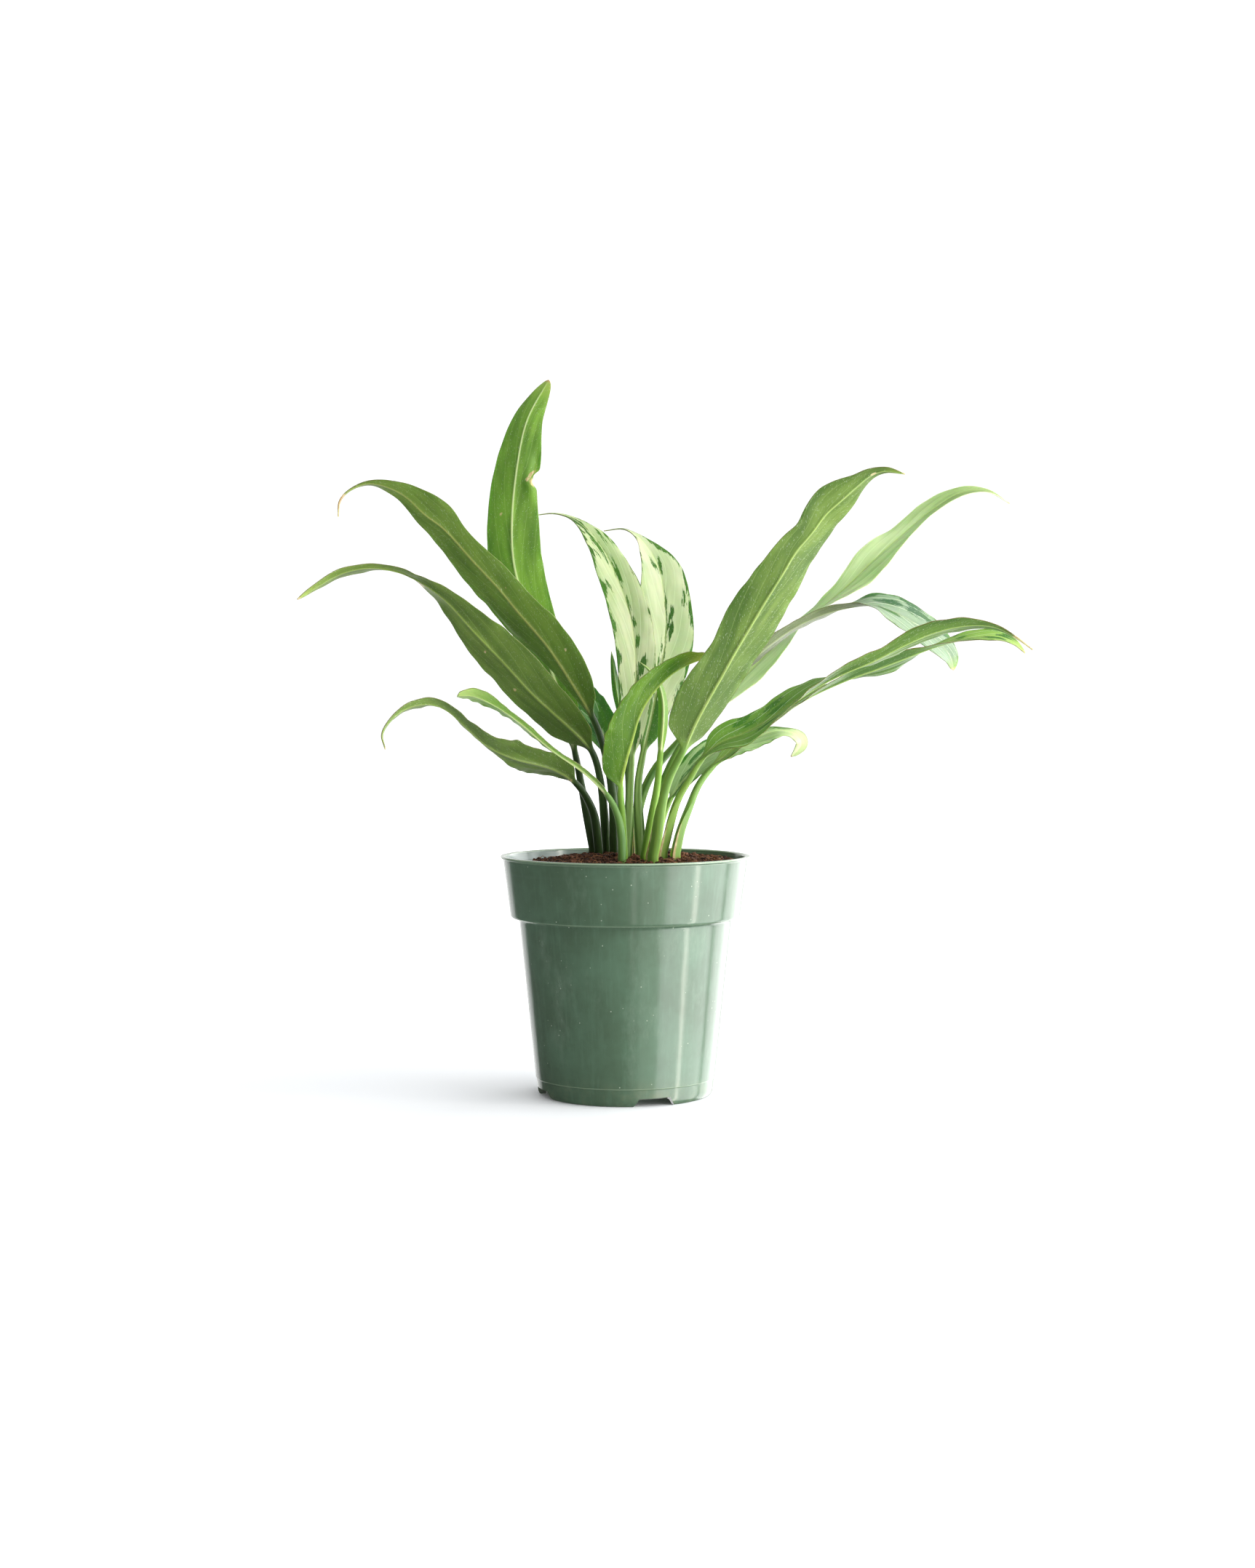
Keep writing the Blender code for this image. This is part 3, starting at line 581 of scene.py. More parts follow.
def smooth_route(points):
    """Points read from a centripetal Catmull-Rom curve through the given rows, ends included."""
    points = np.vstack([2 * points[0] - points[1], points, 2 * points[-1] - points[-2]])
    spans = np.linalg.norm(np.diff(points[:, :3], axis=0), axis=1) ** 0.5
    knots = np.concatenate([[0], np.cumsum(spans)])
    rows = []
    for i in range(1, len(points) - 2):
        t0, t1, t2, t3 = knots[i - 1:i + 3]
        p0, p1, p2, p3 = points[i - 1:i + 3]
        t = np.linspace(t1, t2, ROUTE_STEPS, endpoint=False)[:, None]
        a1 = (t1 - t) / (t1 - t0) * p0 + (t - t0) / (t1 - t0) * p1
        a2 = (t2 - t) / (t2 - t1) * p1 + (t - t1) / (t2 - t1) * p2
        a3 = (t3 - t) / (t3 - t2) * p2 + (t - t2) / (t3 - t2) * p3
        b1 = (t2 - t) / (t2 - t0) * a1 + (t - t0) / (t2 - t0) * a2
        b2 = (t3 - t) / (t3 - t1) * a2 + (t - t1) / (t3 - t1) * a3
        rows.append((t2 - t) / (t2 - t1) * b1 + (t - t1) / (t2 - t1) * b2)
    rows.append(points[-2:-1])
    return np.vstack(rows)


def run_along(rows):
    """The distance of each row from the first, measured along them."""
    return np.concatenate([[0], np.cumsum(np.linalg.norm(np.diff(rows[:, :3], axis=0), axis=1))])


def leaned(rows, lean):
    """The route with each point moved along its line of sight from the front.

    In y it moves by lean, in millimetres, times the square of its share of the length.
    """
    length = run_along(rows)
    view = np.array(FRONT_VIEW_POINT)
    sight = rows[:, :3] - view
    farther = 1 + lean * (length / length[-1]) ** 2 / sight[:, 1]
    return np.column_stack([view + sight * farther[:, None], rows[:, 3]])


def bump_at(value, centre, reach, power=2):
    """A hump of height 1 at the centre: e to minus a power of the distance over the reach."""
    return np.exp(-np.abs((value - centre) / reach) ** power)


def half_width(t, halves, sharpness):
    """Half width in metres at the share t, from halves in millimetres at each tenth from the base.

    The halves divided by (1 - t)^sharpness are joined by cubic pieces and multiplied back, so the tip closes.
    """
    closing = (1 - np.arange(10) / 10) ** sharpness
    ratio = np.array(halves) / closing
    ratio = np.append(ratio, ratio[-1])
    slope = np.gradient(ratio)
    step = np.clip(t * 10, 0, 9.999)
    i = step.astype(int)
    f = step - i
    start = ratio[i] * (1 + 2 * f) * (1 - f) ** 2 + slope[i] * f * (1 - f) ** 2
    end = ratio[i + 1] * (3 - 2 * f) * f ** 2 - slope[i + 1] * (1 - f) * f ** 2
    return np.maximum(start + end, 0) * (1 - t) ** sharpness * MM


def ring_directions(path, at):
    """Two directions square to the route at each station: across the leaf, and out of its upper side.

    The first 12 mm of the stalk turn gradually from upright to the route. At a turn of 0 degrees the upper
    side faces the back, and at 180 degrees the front.
    """
    ahead = np.gradient(path[:, :3], at, axis=0)
    upright = np.clip(1 - at / (12 * MM), 0, 1)[:, None]
    ahead = ahead * (1 - upright) + np.array((0, 0, 1)) * upright
    ahead /= np.linalg.norm(ahead, axis=1)[:, None]
    level = np.cross(ahead, (0, 1, 0))
    level /= np.linalg.norm(level, axis=1)[:, None]
    away = np.cross(level, ahead)
    turn = np.radians(path[:, 3])[:, None]
    return level * np.cos(turn) + away * np.sin(turn), away * np.cos(turn) - level * np.sin(turn)


def blade_width(t, v, left, right, sharpness, margins):
    """Half width at each place, never under 0.4 mm.

    Each change of a margin is a hump at t on one side, with a reach in t and a share of the width as height.
    """
    width = np.where(v > 0, half_width(t, left, sharpness), half_width(t, right, sharpness))
    width = np.where(v == 0, (width.min(1) + width.max(1))[:, None] / 2, width)
    share = np.ones_like(width)
    for centre, side, span, change in margins:
        share = share + change * bump_at(t, centre, span, 4) * (np.sign(v) == side)
    return np.maximum(width * share, 0.4 * MM)


def blade_relief(t, v, vein, broad, wave, waves, phase, flutter, pleat, crease, dents, seed):
    """Height of the blade over its flat halves.

    The margins are rippled by one slow sine wave and three quick ones. Between the side veins the skin is
    pleated by a cosine, more in some places than in others, or creased at each vein by a sine's size. Each
    dent is a hump at t and v with a reach in t, a reach in v and a height in millimetres.
    """
    rng = np.random.default_rng(seed)
    size = np.abs(v)
    side_phase = np.where(v > 0, 0.0, 0.37)
    relief = np.sin(math.tau * (waves * t + phase + side_phase)) * wave * MM * broad * v ** 2
    for count in (7, 11, 16):
        shift = np.where(v > 0, rng.random(), rng.random())
        relief = relief + np.sin(math.tau * (count * t + shift)) * flutter * MM * broad * size ** 5
    hollow = np.sin(np.pi * size) ** 0.8 * np.sin(np.pi * t) ** 0.4 * MM * broad
    uneven = 0.55 + 0.45 * np.sin(math.tau * (1.7 * t + 0.6 * v) + seed)
    pleats = pleat * uneven * np.cos(math.tau * vein)
    creases = crease * np.abs(np.sin(np.pi * vein)) ** 0.7
    relief = relief + hollow * (pleats + creases)
    for centre, where, span, span_across, height in dents:
        relief = relief + height * MM * bump_at(t, centre, span) * bump_at(v, where, span_across)
    return relief


def leaf_stations(foot, route, blade_from, lean):
    """Where rings stand along a leaf: place and turn, distance from the foot, share of the blade.

    The axis is a smooth curve from the foot through the route's rows of x, y, z and turn. Rings stand closest
    together at the blade's two ends. The last value is the distance at which the blade starts.
    """
    start = (*foot, 1.5, route[0][3])
    rows = leaned(smooth_route(np.array([start, *route], float)), lean)
    rows[:, :3] *= MM
    rows[:, 2] += rim_height
    length = run_along(rows)
    blade_start = length[ROUTE_STEPS * (blade_from + 1)]
    blade_length = length[-1] - blade_start
    stalk_rings = max(14, int(blade_start / STALK_PITCH))
    share = np.linspace(0, 1, max(60, int(blade_length / BLADE_PITCH)))
    share = share - 0.045 * np.sin(math.tau * share)
    at = np.concatenate([np.linspace(0, blade_start, stalk_rings, endpoint=False),
                         blade_start + share * blade_length])
    path = np.stack([np.interp(at, length, rows[:, k]) for k in range(4)], axis=1)
    for _ in range(3):
        path[1:-1] = (path[:-2] + 2 * path[1:-1] + path[2:]) / 4
    return path, at, np.concatenate([np.zeros(stalk_rings), share])[:, None], blade_start


def places_across():
    """Places across a blade from -1 to 1, closest at the midrib and the margins, and a stalk's even ones."""
    inner = np.linspace(0, 1, (BLADE_ACROSS - 3) // 2) ** 1.3 * 0.94
    outwards = np.concatenate([inner, [0.975, 1.0]])
    return np.concatenate([-outwards[:0:-1], outwards])[None], np.linspace(-1, 1, BLADE_ACROSS)[None]


def stalk_half(sign, place, radius, wing, spread):
    """Half of a stalk's ring, above or below: round, with a groove above, and wings drawn up at its sides."""
    angle = np.radians(90 - 87 * place)
    raised = wing * spread
    x = radius * np.cos(angle) + np.sign(place) * raised * SHEATH_WIDTH * MM * 0.35
    h = sign * radius * np.sin(angle) + raised * SHEATH_WIDTH * MM
    if sign > 0:
        h = h - STALK_GROOVE * radius * np.exp(-(place / 0.35) ** 2) * (1 - 0.6 * wing)
    return x, h


def leaf_form(foot, route, blade_from, left, right=None, lean=0, stalk=3.0, fold=12, tip_fold=None, wave=1.0,
              waves=3.0, phase=0.0, sharpness=0.9, pleat=0.2, crease=0.0, veins=5, margins=(), dents=(),
              sheath=0.0, flutter=0.3, seed=1):
    """The leaf's surface over the length along it and the place round it, with the values its finish needs.

    Rings stand square to the route. A stalk's ring is round, and its sides are drawn up into the low wings of
    a sheath for the share sheath of its length. A blade's ring is as wide as left and right say, its halves
    are raised by fold, and its skin has its relief, a midrib below and a groove above. For v across from -1
    to 1, a vein lies where veins * (t - VEIN_LEAD * |v|^VEIN_BOW), plus VEIN_STAGGER on the left, is whole.
    """
    tip_fold = fold if tip_fold is None else tip_fold
    right = left if right is None else right
    path, at, t, blade_start = leaf_stations(foot, route, blade_from, lean)
    across, upper = ring_directions(path, at)
    v, place = places_across()
    size = np.abs(v)
    width = blade_width(t, v, left, right, sharpness, margins)
    broad = width / (max(*left, *right) * MM)
    vein = veins * (t - VEIN_LEAD * size ** VEIN_BOW) + VEIN_STAGGER * (v > 0)
    relief = blade_relief(t, v, vein, broad, wave, waves, phase, flutter, pleat, crease, dents, seed)
    slope = np.radians(fold + (tip_fold - fold) * t)
    blade_x = width * v * np.cos(slope)
    blade_h = width * np.sqrt(v ** 2 + RIB_ROUNDING) * np.sin(slope) + relief
    rib = RIB_HEIGHT * (1 - t) ** 0.8 * np.exp(-(blade_x / ((1.2 - 0.6 * t) * MM)) ** 2)
    groove = GROOVE_DEPTH * (1 - t) * np.exp(-(blade_x / (0.8 * MM)) ** 2)
    skin = SKIN_HALF * (1 - 0.6 * size ** 14)

    along = at[:, None] / blade_start
    stalk_radius = stalk * MM * np.interp(along, [0, 0.35, 0.6, 1, 1.25], [1, 1, 0.88, 0.72, 0.3])
    flat = np.clip(t / FLAT_FROM, 0, 1)
    flat = flat * flat * (3 - 2 * flat)
    wing = np.clip(1 - along / max(sheath, 0.01), 0, 1) ** 0.6 * (sheath > 0)
    spread = np.clip((np.abs(place) - 0.72) / 0.28, 0, 1)
    sides = []
    values = []
    for sign in (1, -1):
        round_x, round_h = stalk_half(sign, place, stalk_radius, wing, spread)
        edge = skin - groove if sign > 0 else -skin - rib
        x = round_x + (blade_x - round_x) * flat
        h = round_h + (blade_h + edge - round_h) * flat
        points = path[:, None, :3] + across[:, None] * x[..., None] + upper[:, None] * h[..., None]
        metres_along = np.broadcast_to(at[:, None] - blade_start, x.shape)
        margin = width * (1 - size) + 5 * MM * (1 - flat)
        facts = np.stack([np.broadcast_to(t, x.shape), np.broadcast_to(v, x.shape),
                          np.full(x.shape, sign * 0.5 + 0.5), metres_along, x, margin,
                          np.broadcast_to(vein, x.shape), wing * spread * (1 - flat)], axis=-1)
        sides.append(points if sign > 0 else points[:, ::-1])
        values.append(facts if sign > 0 else facts[:, ::-1])
    rings = np.concatenate(sides, axis=1)
    facts = np.concatenate(values, axis=1)
    bottom = rings[:1] - (0, 0, STALK_DEPTH)
    return np.concatenate([bottom, rings]), np.concatenate([facts[:1], facts])


def drawn_wave(value, seed, pitch):
    """A slow random wave from 0 to 1: three sines of random pitch and start."""
    rng = np.random.default_rng(seed)
    total = sum(np.sin(value * pitch * rng.uniform(0.6, 1.7) + rng.uniform(0, math.tau)) for _ in range(3))
    return 0.5 + total / 6


def blotch_field(facts, borders, spots, rib_spots, seed):
    """How far inside a dark green blotch each point is: above 0 inside, below 0 outside.

    The border along each margin, left then right, wanders between two widths in millimetres. Spots are
    ellipses drawn out along the side veins: the place along, the place across, and both half sizes, the
    first as a share of the blade and the rest in millimetres. Some more lie at random along the midrib.
    """
    rng = np.random.default_rng(seed)
    v, along, x, margin = (facts[..., k] for k in (1, 3, 4, 5))
    left_side = v > 0
    wander = drawn_wave(along * 1000 + left_side * 300, seed, 0.16)
    (left_low, left_high), (right_low, right_high) = borders
    band = np.where(left_side, left_low + (left_high - left_low) * wander,
                    right_low + (right_high - right_low) * wander)
    field = (band * MM - margin) / (1.3 * MM)
    sheared = along - 1.8 * np.abs(x)
    length = along.max()
    placed = [(a * length, c * MM, la * MM, lc * MM) for a, c, la, lc in spots]
    for _ in range(rib_spots):
        reach = rng.uniform(4, 15) * MM
        start = rng.uniform(0.04, 0.9) * length
        centre = rng.choice([-1, 1]) * rng.uniform(0.6, 2.4) * MM
        placed.append((start, centre, reach, rng.uniform(0.8, 2.2) * MM))
    for a, c, reach, half in placed:
        inside = 1 - np.hypot((sheared - a) / reach, (x - c) / half)
        field = np.maximum(field, inside * half / (1.1 * MM))
    return np.clip(field, -3, 3)


def leaf_finish(name, under="7ba23a", under_dark="648a2f", pale="c6d7a6", pale_dark="a4bf84", dark="3f7340",
                rib="d9e3a2", rib_share=0.75, edge="6b5a3c", edge_width=0.5, stalk="7a9f40",
                stalk_dark="56803a", tip="a3b45a", tip_from=0.93, painted_base_shade=0.55, streak=2.2, gloss=0.36,
                seed=0):
    """A leaf's skin: silver green with dark blotches above, plain green below, pale midrib and side veins.

    Blotches are cut from the field by a streaky noise, so that their edges look brushed along the veins.
    Below, the blade is darker towards its base: painted shade. The margin is a thin line, the tip turns
    to its own colour, dry places turn tan, and fine pale specks lie over all.
    """
    material, tree, shader = new_finish(
        name, Subsurface_Weight=0.4, Subsurface_Radius=(0.5, 1.0, 0.2), Subsurface_Scale=2 * MM,
        Specular_IOR_Level=0.3)
    t, _, upper = split(tree, stored(tree, "leaf_share").outputs["Vector"])
    along, x, margin = split(tree, stored(tree, "leaf_metres").outputs["Vector"])
    vein, field, dry = split(tree, stored(tree, "leaf_marks").outputs["Vector"])
    away = calc(tree, "ABSOLUTE", x)
    place = tree.nodes.new("ShaderNodeCombineXYZ")
    feed(tree, place.inputs[0], x)
    feed(tree, place.inputs[1], calc(tree, "SUBTRACT", along, times(tree, away, 1.8)))
    feed(tree, place.inputs[2], float(seed))
    place = place.outputs[0]
    brush = noise(tree, place, (900, 110, 1), 5, 0.62)
    clouds = noise(tree, place, (110, 22, 1))
    cloudy = ramp(tree, clouds, 0.3, 0.7)
    fine = noise(tree, place, (1300, 20, 1), 2)
    blade = ramp(tree, t, 0.003, 0.05)
    line = calc(tree, "PINGPONG", vein, 0.5)
    ridge = ramp(tree, line, 0.0, 0.05, 1, 0)
    valley = ramp(tree, line, 0.02, 0.5, 1, 0)
    ragged = plus(tree, field, times(tree, calc(tree, "SUBTRACT", brush, 0.5), streak * 2))
    blotch = ramp(tree, calc(tree, "SUBTRACT", ragged, times(tree, ridge, 0.7)), -0.22, 0.3)
    rib_reach = plus(tree, away, times(tree, t, 0.7 * MM))
    midrib = ramp(tree, rib_reach, 0.6 * MM, 1.5 * MM, 1, 0)

    silver = laid(tree, cloudy, pale, pale_dark)
    silver = laid(tree, ramp(tree, fine, 0.4, 0.75, 0, 0.2), silver, pale_dark)
    silver = laid(tree, times(tree, valley, 0.3), silver, pale_dark)
    silver = laid(tree, times(tree, ridge, 0.6), silver, "e9f1d4")
    above = laid(tree, blotch, silver, laid(tree, cloudy, dark, "4f7d2c"))
    above = laid(tree, times(tree, midrib, 0.4), above, rib)

    below = laid(tree, cloudy, under, under_dark)
    below = laid(tree, ramp(tree, fine, 0.42, 0.75, 0, 0.2), below, under_dark)
    below = laid(tree, times(tree, blotch, 0.18), below, under_dark)
    below = laid(tree, times(tree, valley, 0.13), below, under_dark)
    below = laid(tree, times(tree, ridge, 0.24), below, "b4cc78")
    # Painted shade: the underside is laid darker towards the blade's base.
    below = laid(tree, ramp(tree, t, 0, 0.5, painted_base_shade, 0), below, under_dark)
    below = laid(tree, times(tree, midrib, rib_share), below, rib)

    skin = laid(tree, upper, below, above)
    skin = laid(tree, ramp(tree, t, tip_from, 1.0, 0, 0.8), skin, tip)
    stem = laid(tree, ramp(tree, noise(tree, place, (300, 12, 1)), 0.3, 0.7), stalk, stalk_dark)
    skin = laid(tree, blade, stem, skin)
    rim = ramp(tree, margin, 0.3 * edge_width * MM, edge_width * MM, 0.6, 0)
    skin = laid(tree, times(tree, rim, blade), skin, edge)
    withered = laid(tree, ramp(tree, brush, 0.35, 0.65), "a98a5c", "d8c9a0")
    skin = laid(tree, ramp(tree, plus(tree, dry, times(tree, brush, 0.3)), 0.35, 0.75), skin, withered)
    specks = ramp(tree, noise(tree, place, (1500, 1500, 1), 0), 0.72, 0.8, 0, 0.32)
    skin = laid(tree, times(tree, specks, blade), skin, "dfe6cc")
    feed(tree, shader.inputs["Base Color"], skin)
    feed(tree, shader.inputs["Roughness"], plus(tree, gloss, times(tree, clouds, 0.14)))
    feed(tree, shader.inputs["Normal"], bumped(tree, clouds, 0.4 * MM, 0.4))
    return material


def add_leaf(name, slot, form, borders=((-1, 3.5), (-1, 3.5)), spots=(), rib_spots=9, dry_spots=(),
             dry_tip=0.985, seed=1, **colours):
    """Builds one leaf from its measurements, gives it its finish and puts it in place of its plain solid.

    Points are dry past the share dry_tip, at the sheath's edges and round each dry spot, which is given by
    its t and v and its reach in both.
    """
    rings, facts = leaf_form(STALK_FEET[name], seed=seed, **form)
    obj = surface(name + "_skin", rings)
    t, v = facts[..., 0], facts[..., 1]
    dry = np.clip((t - dry_tip) / 0.02, 0, 1) + facts[..., 7] ** 2
    for centre, where, span, span_across in dry_spots:
        dry = np.maximum(dry, bump_at(t, centre, span) * bump_at(v, where, span_across))
    field = blotch_field(facts, borders, spots, rib_spots, seed)
    marks = np.stack([facts[..., 6], field, np.clip(dry, 0, 1)], axis=-1)
    groups = {"leaf_share": facts[..., :3], "leaf_metres": facts[..., 3:6], "leaf_marks": marks}
    for title, values in groups.items():
        layer = obj.data.attributes.new(title, "FLOAT_VECTOR", "POINT")
        layer.data.foreach_set("vector", values.astype(np.float32).ravel())
    obj.data.materials.append(leaf_finish(name + "_finish", seed=seed * 3.7, **colours))
    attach(obj, "root")
    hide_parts(name)


# The tall leaf at the left stands nearly upright with its underside to the front. Its right margin was
# torn and healed: a pinched crease with a small dry scar above a notch.

add_leaf("leaf_tall_left", "leaf_green", dict(
    route=[(-29, 46, 40, 30), (-34, 44, 66, 30), (-41, 42, 96, 25), (-54, 38, 134, 20), (-66, 34, 163, 16),
           (-74.5, 30, 193, 12), (-76, 27, 219, 10), (-72.5, 24, 257, 10), (-65.5, 22, 289, 12),
           (-51, 22, 316, 20)],
    blade_from=1, lean=50, left=(4, 9.4, 13.9, 16.7, 18.3, 19, 18.4, 17.6, 14.5, 9.6),
    right=(4, 9.2, 13.3, 15.5, 17.8, 19.3, 18.7, 15.8, 14.8, 9.5), sharpness=0.5, fold=10, wave=0.6,
    waves=2.0, margins=[(0.725, -1, 0.022, -0.24)],
    dents=[(0.7, -0.75, 0.03, 0.25, -2.2), (0.77, -0.8, 0.03, 0.2, 2)]),
    dry_spots=[(0.715, -0.93, 0.012, 0.08), (0.738, -0.82, 0.013, 0.1), (0.722, -0.7, 0.006, 0.1),
               (0.63, 0.45, 0.004, 0.05)],
    # The stalk colours are darkened as painted shade: these stalks stand in the shade at the back left.
    under="7fa23f", under_dark="5a7c2e", rib="eaf0bc", rib_share=0.65, stalk="43602a", stalk_dark="24391a",
    seed=1)

# The upper left leaf arches up and away to the left. Its tip has withered: it narrows, curls over and
# hangs.

add_leaf("leaf_upper_left", "leaf_green", dict(
    route=[(-9, 36, 42, 35), (-14.5, 33, 70, 35), (-21.5, 28, 90, 35), (-38, 19, 118, 35), (-52, 13, 139, 35),
           (-70, 8, 160, 35), (-84, 3, 177, 35), (-100, -1, 194, 32), (-119, -4, 215, 30),
           (-131, -7, 224, 35), (-147, -10, 238, 45), (-167, -13, 244, 65), (-180, -15, 239, 75),
           (-186, -16, 232, 70), (-187, -16, 222, 60)],
    blade_from=2, left=(3, 7, 13, 21, 20.5, 18.5, 15.5, 10.3, 6.9, 4),
    right=(4, 13.4, 16.7, 17.2, 14, 12.8, 11.2, 15.5, 7, 1.8), wave=1.2, waves=3.2, phase=0.4,
    sharpness=0.7, dents=[(0.36, 0.95, 0.06, 0.12, 2.5)]),
    dry_spots=[(0.2, -0.55, 0.004, 0.05), (0.42, -0.3, 0.003, 0.04)], dry_tip=0.93, under="788f3f",
    # The stalk colours are darkened as painted shade: these stalks stand in the shade at the back left.
    under_dark="59712c", rib="b3b468", rib_share=0.6, tip="a9bb6c", tip_from=0.86, stalk="43602a",
    stalk_dark="24391a", seed=2)

# The lower left leaf runs below it and narrows to a neck, where it twists before its broad tip.

add_leaf("leaf_lower_left", "leaf_green", dict(
    route=[(-17, 38, 49, 30), (-22, 34, 67, 30), (-30, 29, 77, 30), (-48, 20, 94, 30), (-62, 14, 107, 30),
           (-81, 8, 128, 32), (-100, 3, 148, 38), (-119, -2, 169, 58), (-134, -6, 180, 74),
           (-141, -8, 183.5, 85), (-147, -10, 186, 80), (-166, -14, 189, 68), (-185, -17, 185, 68),
           (-201, -20, 176, 66), (-213, -22, 168, 60)],
    blade_from=1, lean=-50, left=(5, 16.9, 16.6, 18.3, 18.7, 14.2, 12.4, 11.8, 10.6, 6.1),
    right=(5, 13.1, 16.7, 18.6, 18.1, 14.5, 9.5, 8, 4.5, 4.5), wave=0.9, phase=0.1, sharpness=0.6),
    dry_spots=[(0.27, 0.5, 0.005, 0.06), (0.4, 0.3, 0.004, 0.05), (0.635, 0.8, 0.01, 0.3)], under="798f42",
    # The stalk colours are darkened as painted shade: these stalks stand in the shade at the back left.
    under_dark="566d2e", rib="a9bd62", rib_share=0.5, stalk="43602a", stalk_dark="24391a", seed=3)

# A small leaf low at the left, bent over at its stalk, ends in a torn edge.

add_leaf("leaf_torn_left", "leaf_green", dict(
    route=[(-2.5, -28, 14, 40), (-5, -28, 28, 45), (-11, -29, 40, 55), (-22, -30, 52, 60), (-32, -32, 60, 60),
           (-44, -34, 68, 60), (-54, -35, 76, 58), (-68, -36, 88, 55), (-84, -37, 99, 55),
           (-98, -38, 105, 55), (-108, -38, 105.5, 60)],
    blade_from=2, lean=-25, left=(2.4, 2.6, 4.5, 7, 8, 7, 11, 12, 10.6, 12),
    right=(2.4, 2.6, 2.6, 2.6, 2.6, 2.8, 3.3, 3.4, 5, 6.5), sharpness=0.3, stalk=2.7, fold=20, wave=0.8,
    phase=0.3, pleat=0.25),
    dry_tip=0.992, under="8fb351", under_dark="76994a", tip="b5cb78", tip_from=0.8, stalk="86a857", seed=4)

# The lowest leaf at the left rises from behind, levels out and droops at its tip.

add_leaf("leaf_drooping_left", "leaf_green", dict(
    route=[(-21, 31, 25, 45), (-26, 26, 37, 45), (-33, 18, 47, 45), (-45, 8, 55.5, 42), (-57, -4, 60, 40),
           (-73, -14, 64.5, 45), (-89, -22, 72.5, 65), (-101, -28, 83, 60), (-115, -33, 96, 70),
           (-126, -37, 100, 66), (-141, -40, 97, 66), (-151, -42, 89, 66), (-156, -43, 80, 66),
           (-154, -43, 71, 60)],
    blade_from=2, lean=-45, left=(3, 11, 15.5, 10.5, 6, 8.5, 9, 9, 8.3, 3),
    right=(3, 10.4, 11.4, 13, 14.6, 9.5, 8.5, 6.6, 4.2, 1.8), fold=15, wave=1.4, phase=0.6),
    dry_spots=[(0.03, 0.2, 0.006, 0.5)], under="7d974b", under_dark="5e753a", rib="a9bc6a", rib_share=0.5,
    # The stalk colours are darkened as painted shade: these stalks stand in the shade at the back left.
    stalk="3f5a28", stalk_dark="22361a", seed=5)

# The young leaf in the middle is still folded along its midrib and shows one half of its underside.

add_leaf("leaf_young_front", "leaf_green", dict(
    route=[(-2, -24, 28, -40), (-3, -28, 45, -45), (-1, -30, 57, -50), (2.5, -32, 70, -53),
           (5.5, -33, 80, -55), (8, -34, 89, -57), (12, -35, 98, -58), (17, -35, 106, -60),
           (23, -34, 113, -64), (31, -31, 120, -72), (44, -24, 127, -90), (58, -14, 131, -105)],
    blade_from=1, left=(5, 13.9, 17, 19, 17, 14.8, 12.8, 11, 11.5, 8),
    right=(4, 11, 15, 16.5, 15.5, 14, 12, 9.5, 7, 4), stalk=2.7, fold=35, wave=0.4, waves=2.0, pleat=0.3,
    sharpness=0.6), under="6c9124", under_dark="476d1b", rib="b9cf62", tip="b0b043", tip_from=0.72,
    stalk="8db64a", stalk_dark="6c9438", seed=6)

# The youngest leaf is still rolled into a spindle.

add_leaf("leaf_rolled_young", "leaf_green", dict(
    route=[(17.6, -18, 28, 0), (21, -18, 47, 0), (23, -18, 68, 0), (24.7, -18, 88, 0), (24.7, -18, 101, 0),
           (22, -18, 113, 0), (16, -16, 122, 0), (9, -12, 128, 0)],
    blade_from=2, left=(3, 5, 6.4, 7, 7, 6.6, 5.8, 4.6, 3.2, 1.8), stalk=2.7, fold=62, wave=0.0,
    pleat=0.1, flutter=0.1), under="8cb53f", under_dark="76a035", stalk="8db64a", stalk_dark="6c9438", seed=7)

# The large leaf rises to the right in front of the others, with its underside to the front.

add_leaf("leaf_large_right", "leaf_green", dict(
    route=[(21, -31, 14, -25), (23.5, -32, 33, -25), (28, -33, 51, -25), (37, -35, 69, -25),
           (45, -37, 87, -25), (53, -38, 102, -25), (61, -39, 116, -25), (71, -40, 134, -22),
           (80.5, -41, 150, -22), (90, -42, 166, -24), (100, -43, 182, -26), (109, -44, 197, -30),
           (119, -44, 209, -35), (128, -45, 221, -35), (138, -45, 230, -38), (148, -45, 239, -45),
           (157, -45, 246, -55), (167, -44, 249, -60), (179, -43, 247, -60)],
    blade_from=3, lean=-30, left=(12, 18.6, 20, 16.5, 18.6, 17.2, 14.8, 12.5, 15.5, 6.5),
    right=(6, 12.5, 16, 16.8, 18.1, 17.1, 16.2, 15, 12.5, 5.5), stalk=3.2, sheath=0.5, fold=10, wave=0.7,
    waves=2.4, phase=0.2),
    dry_spots=[(0.915, 0.1, 0.008, 0.15)], under="768e41", under_dark="4f6a2b", rib="bfd47c", rib_share=0.5,
    stalk="82a443", stalk_dark="64893c", seed=8)

# A leaf hides behind the left ones and shows only as a patch between them. Its colours are all darkened
# as painted shade, for it lies in the shade of the leaves in front.

add_leaf("leaf_shaded_left", "leaf_green", dict(
    route=[(-7, 54, 32, 150), (-10, 52, 64, 150), (-22, 56, 91, 150), (-40, 63, 111, 150),
           (-57, 70, 125, 145), (-80, 78, 134, 130)],
    blade_from=1, lean=25, left=(3, 9.5, 13.2, 14.8, 15, 14.2, 12.6, 10.2, 7.3, 4), fold=10, wave=1.2,
    waves=2.0), borders=((6, 14), (6, 14)), rib_spots=16, dark="2f5a33", pale="7fa074", pale_dark="5c8454",
    under="4d7434", under_dark="3b5d2a", gloss=0.22, stalk="46682e", stalk_dark="2c4520", seed=9)

# Two leaves at the back show their upper sides: silver green, with dark green blotches along the midrib
# and the margins, and long soft pleats between the side veins. Their tips draw out into thin points.

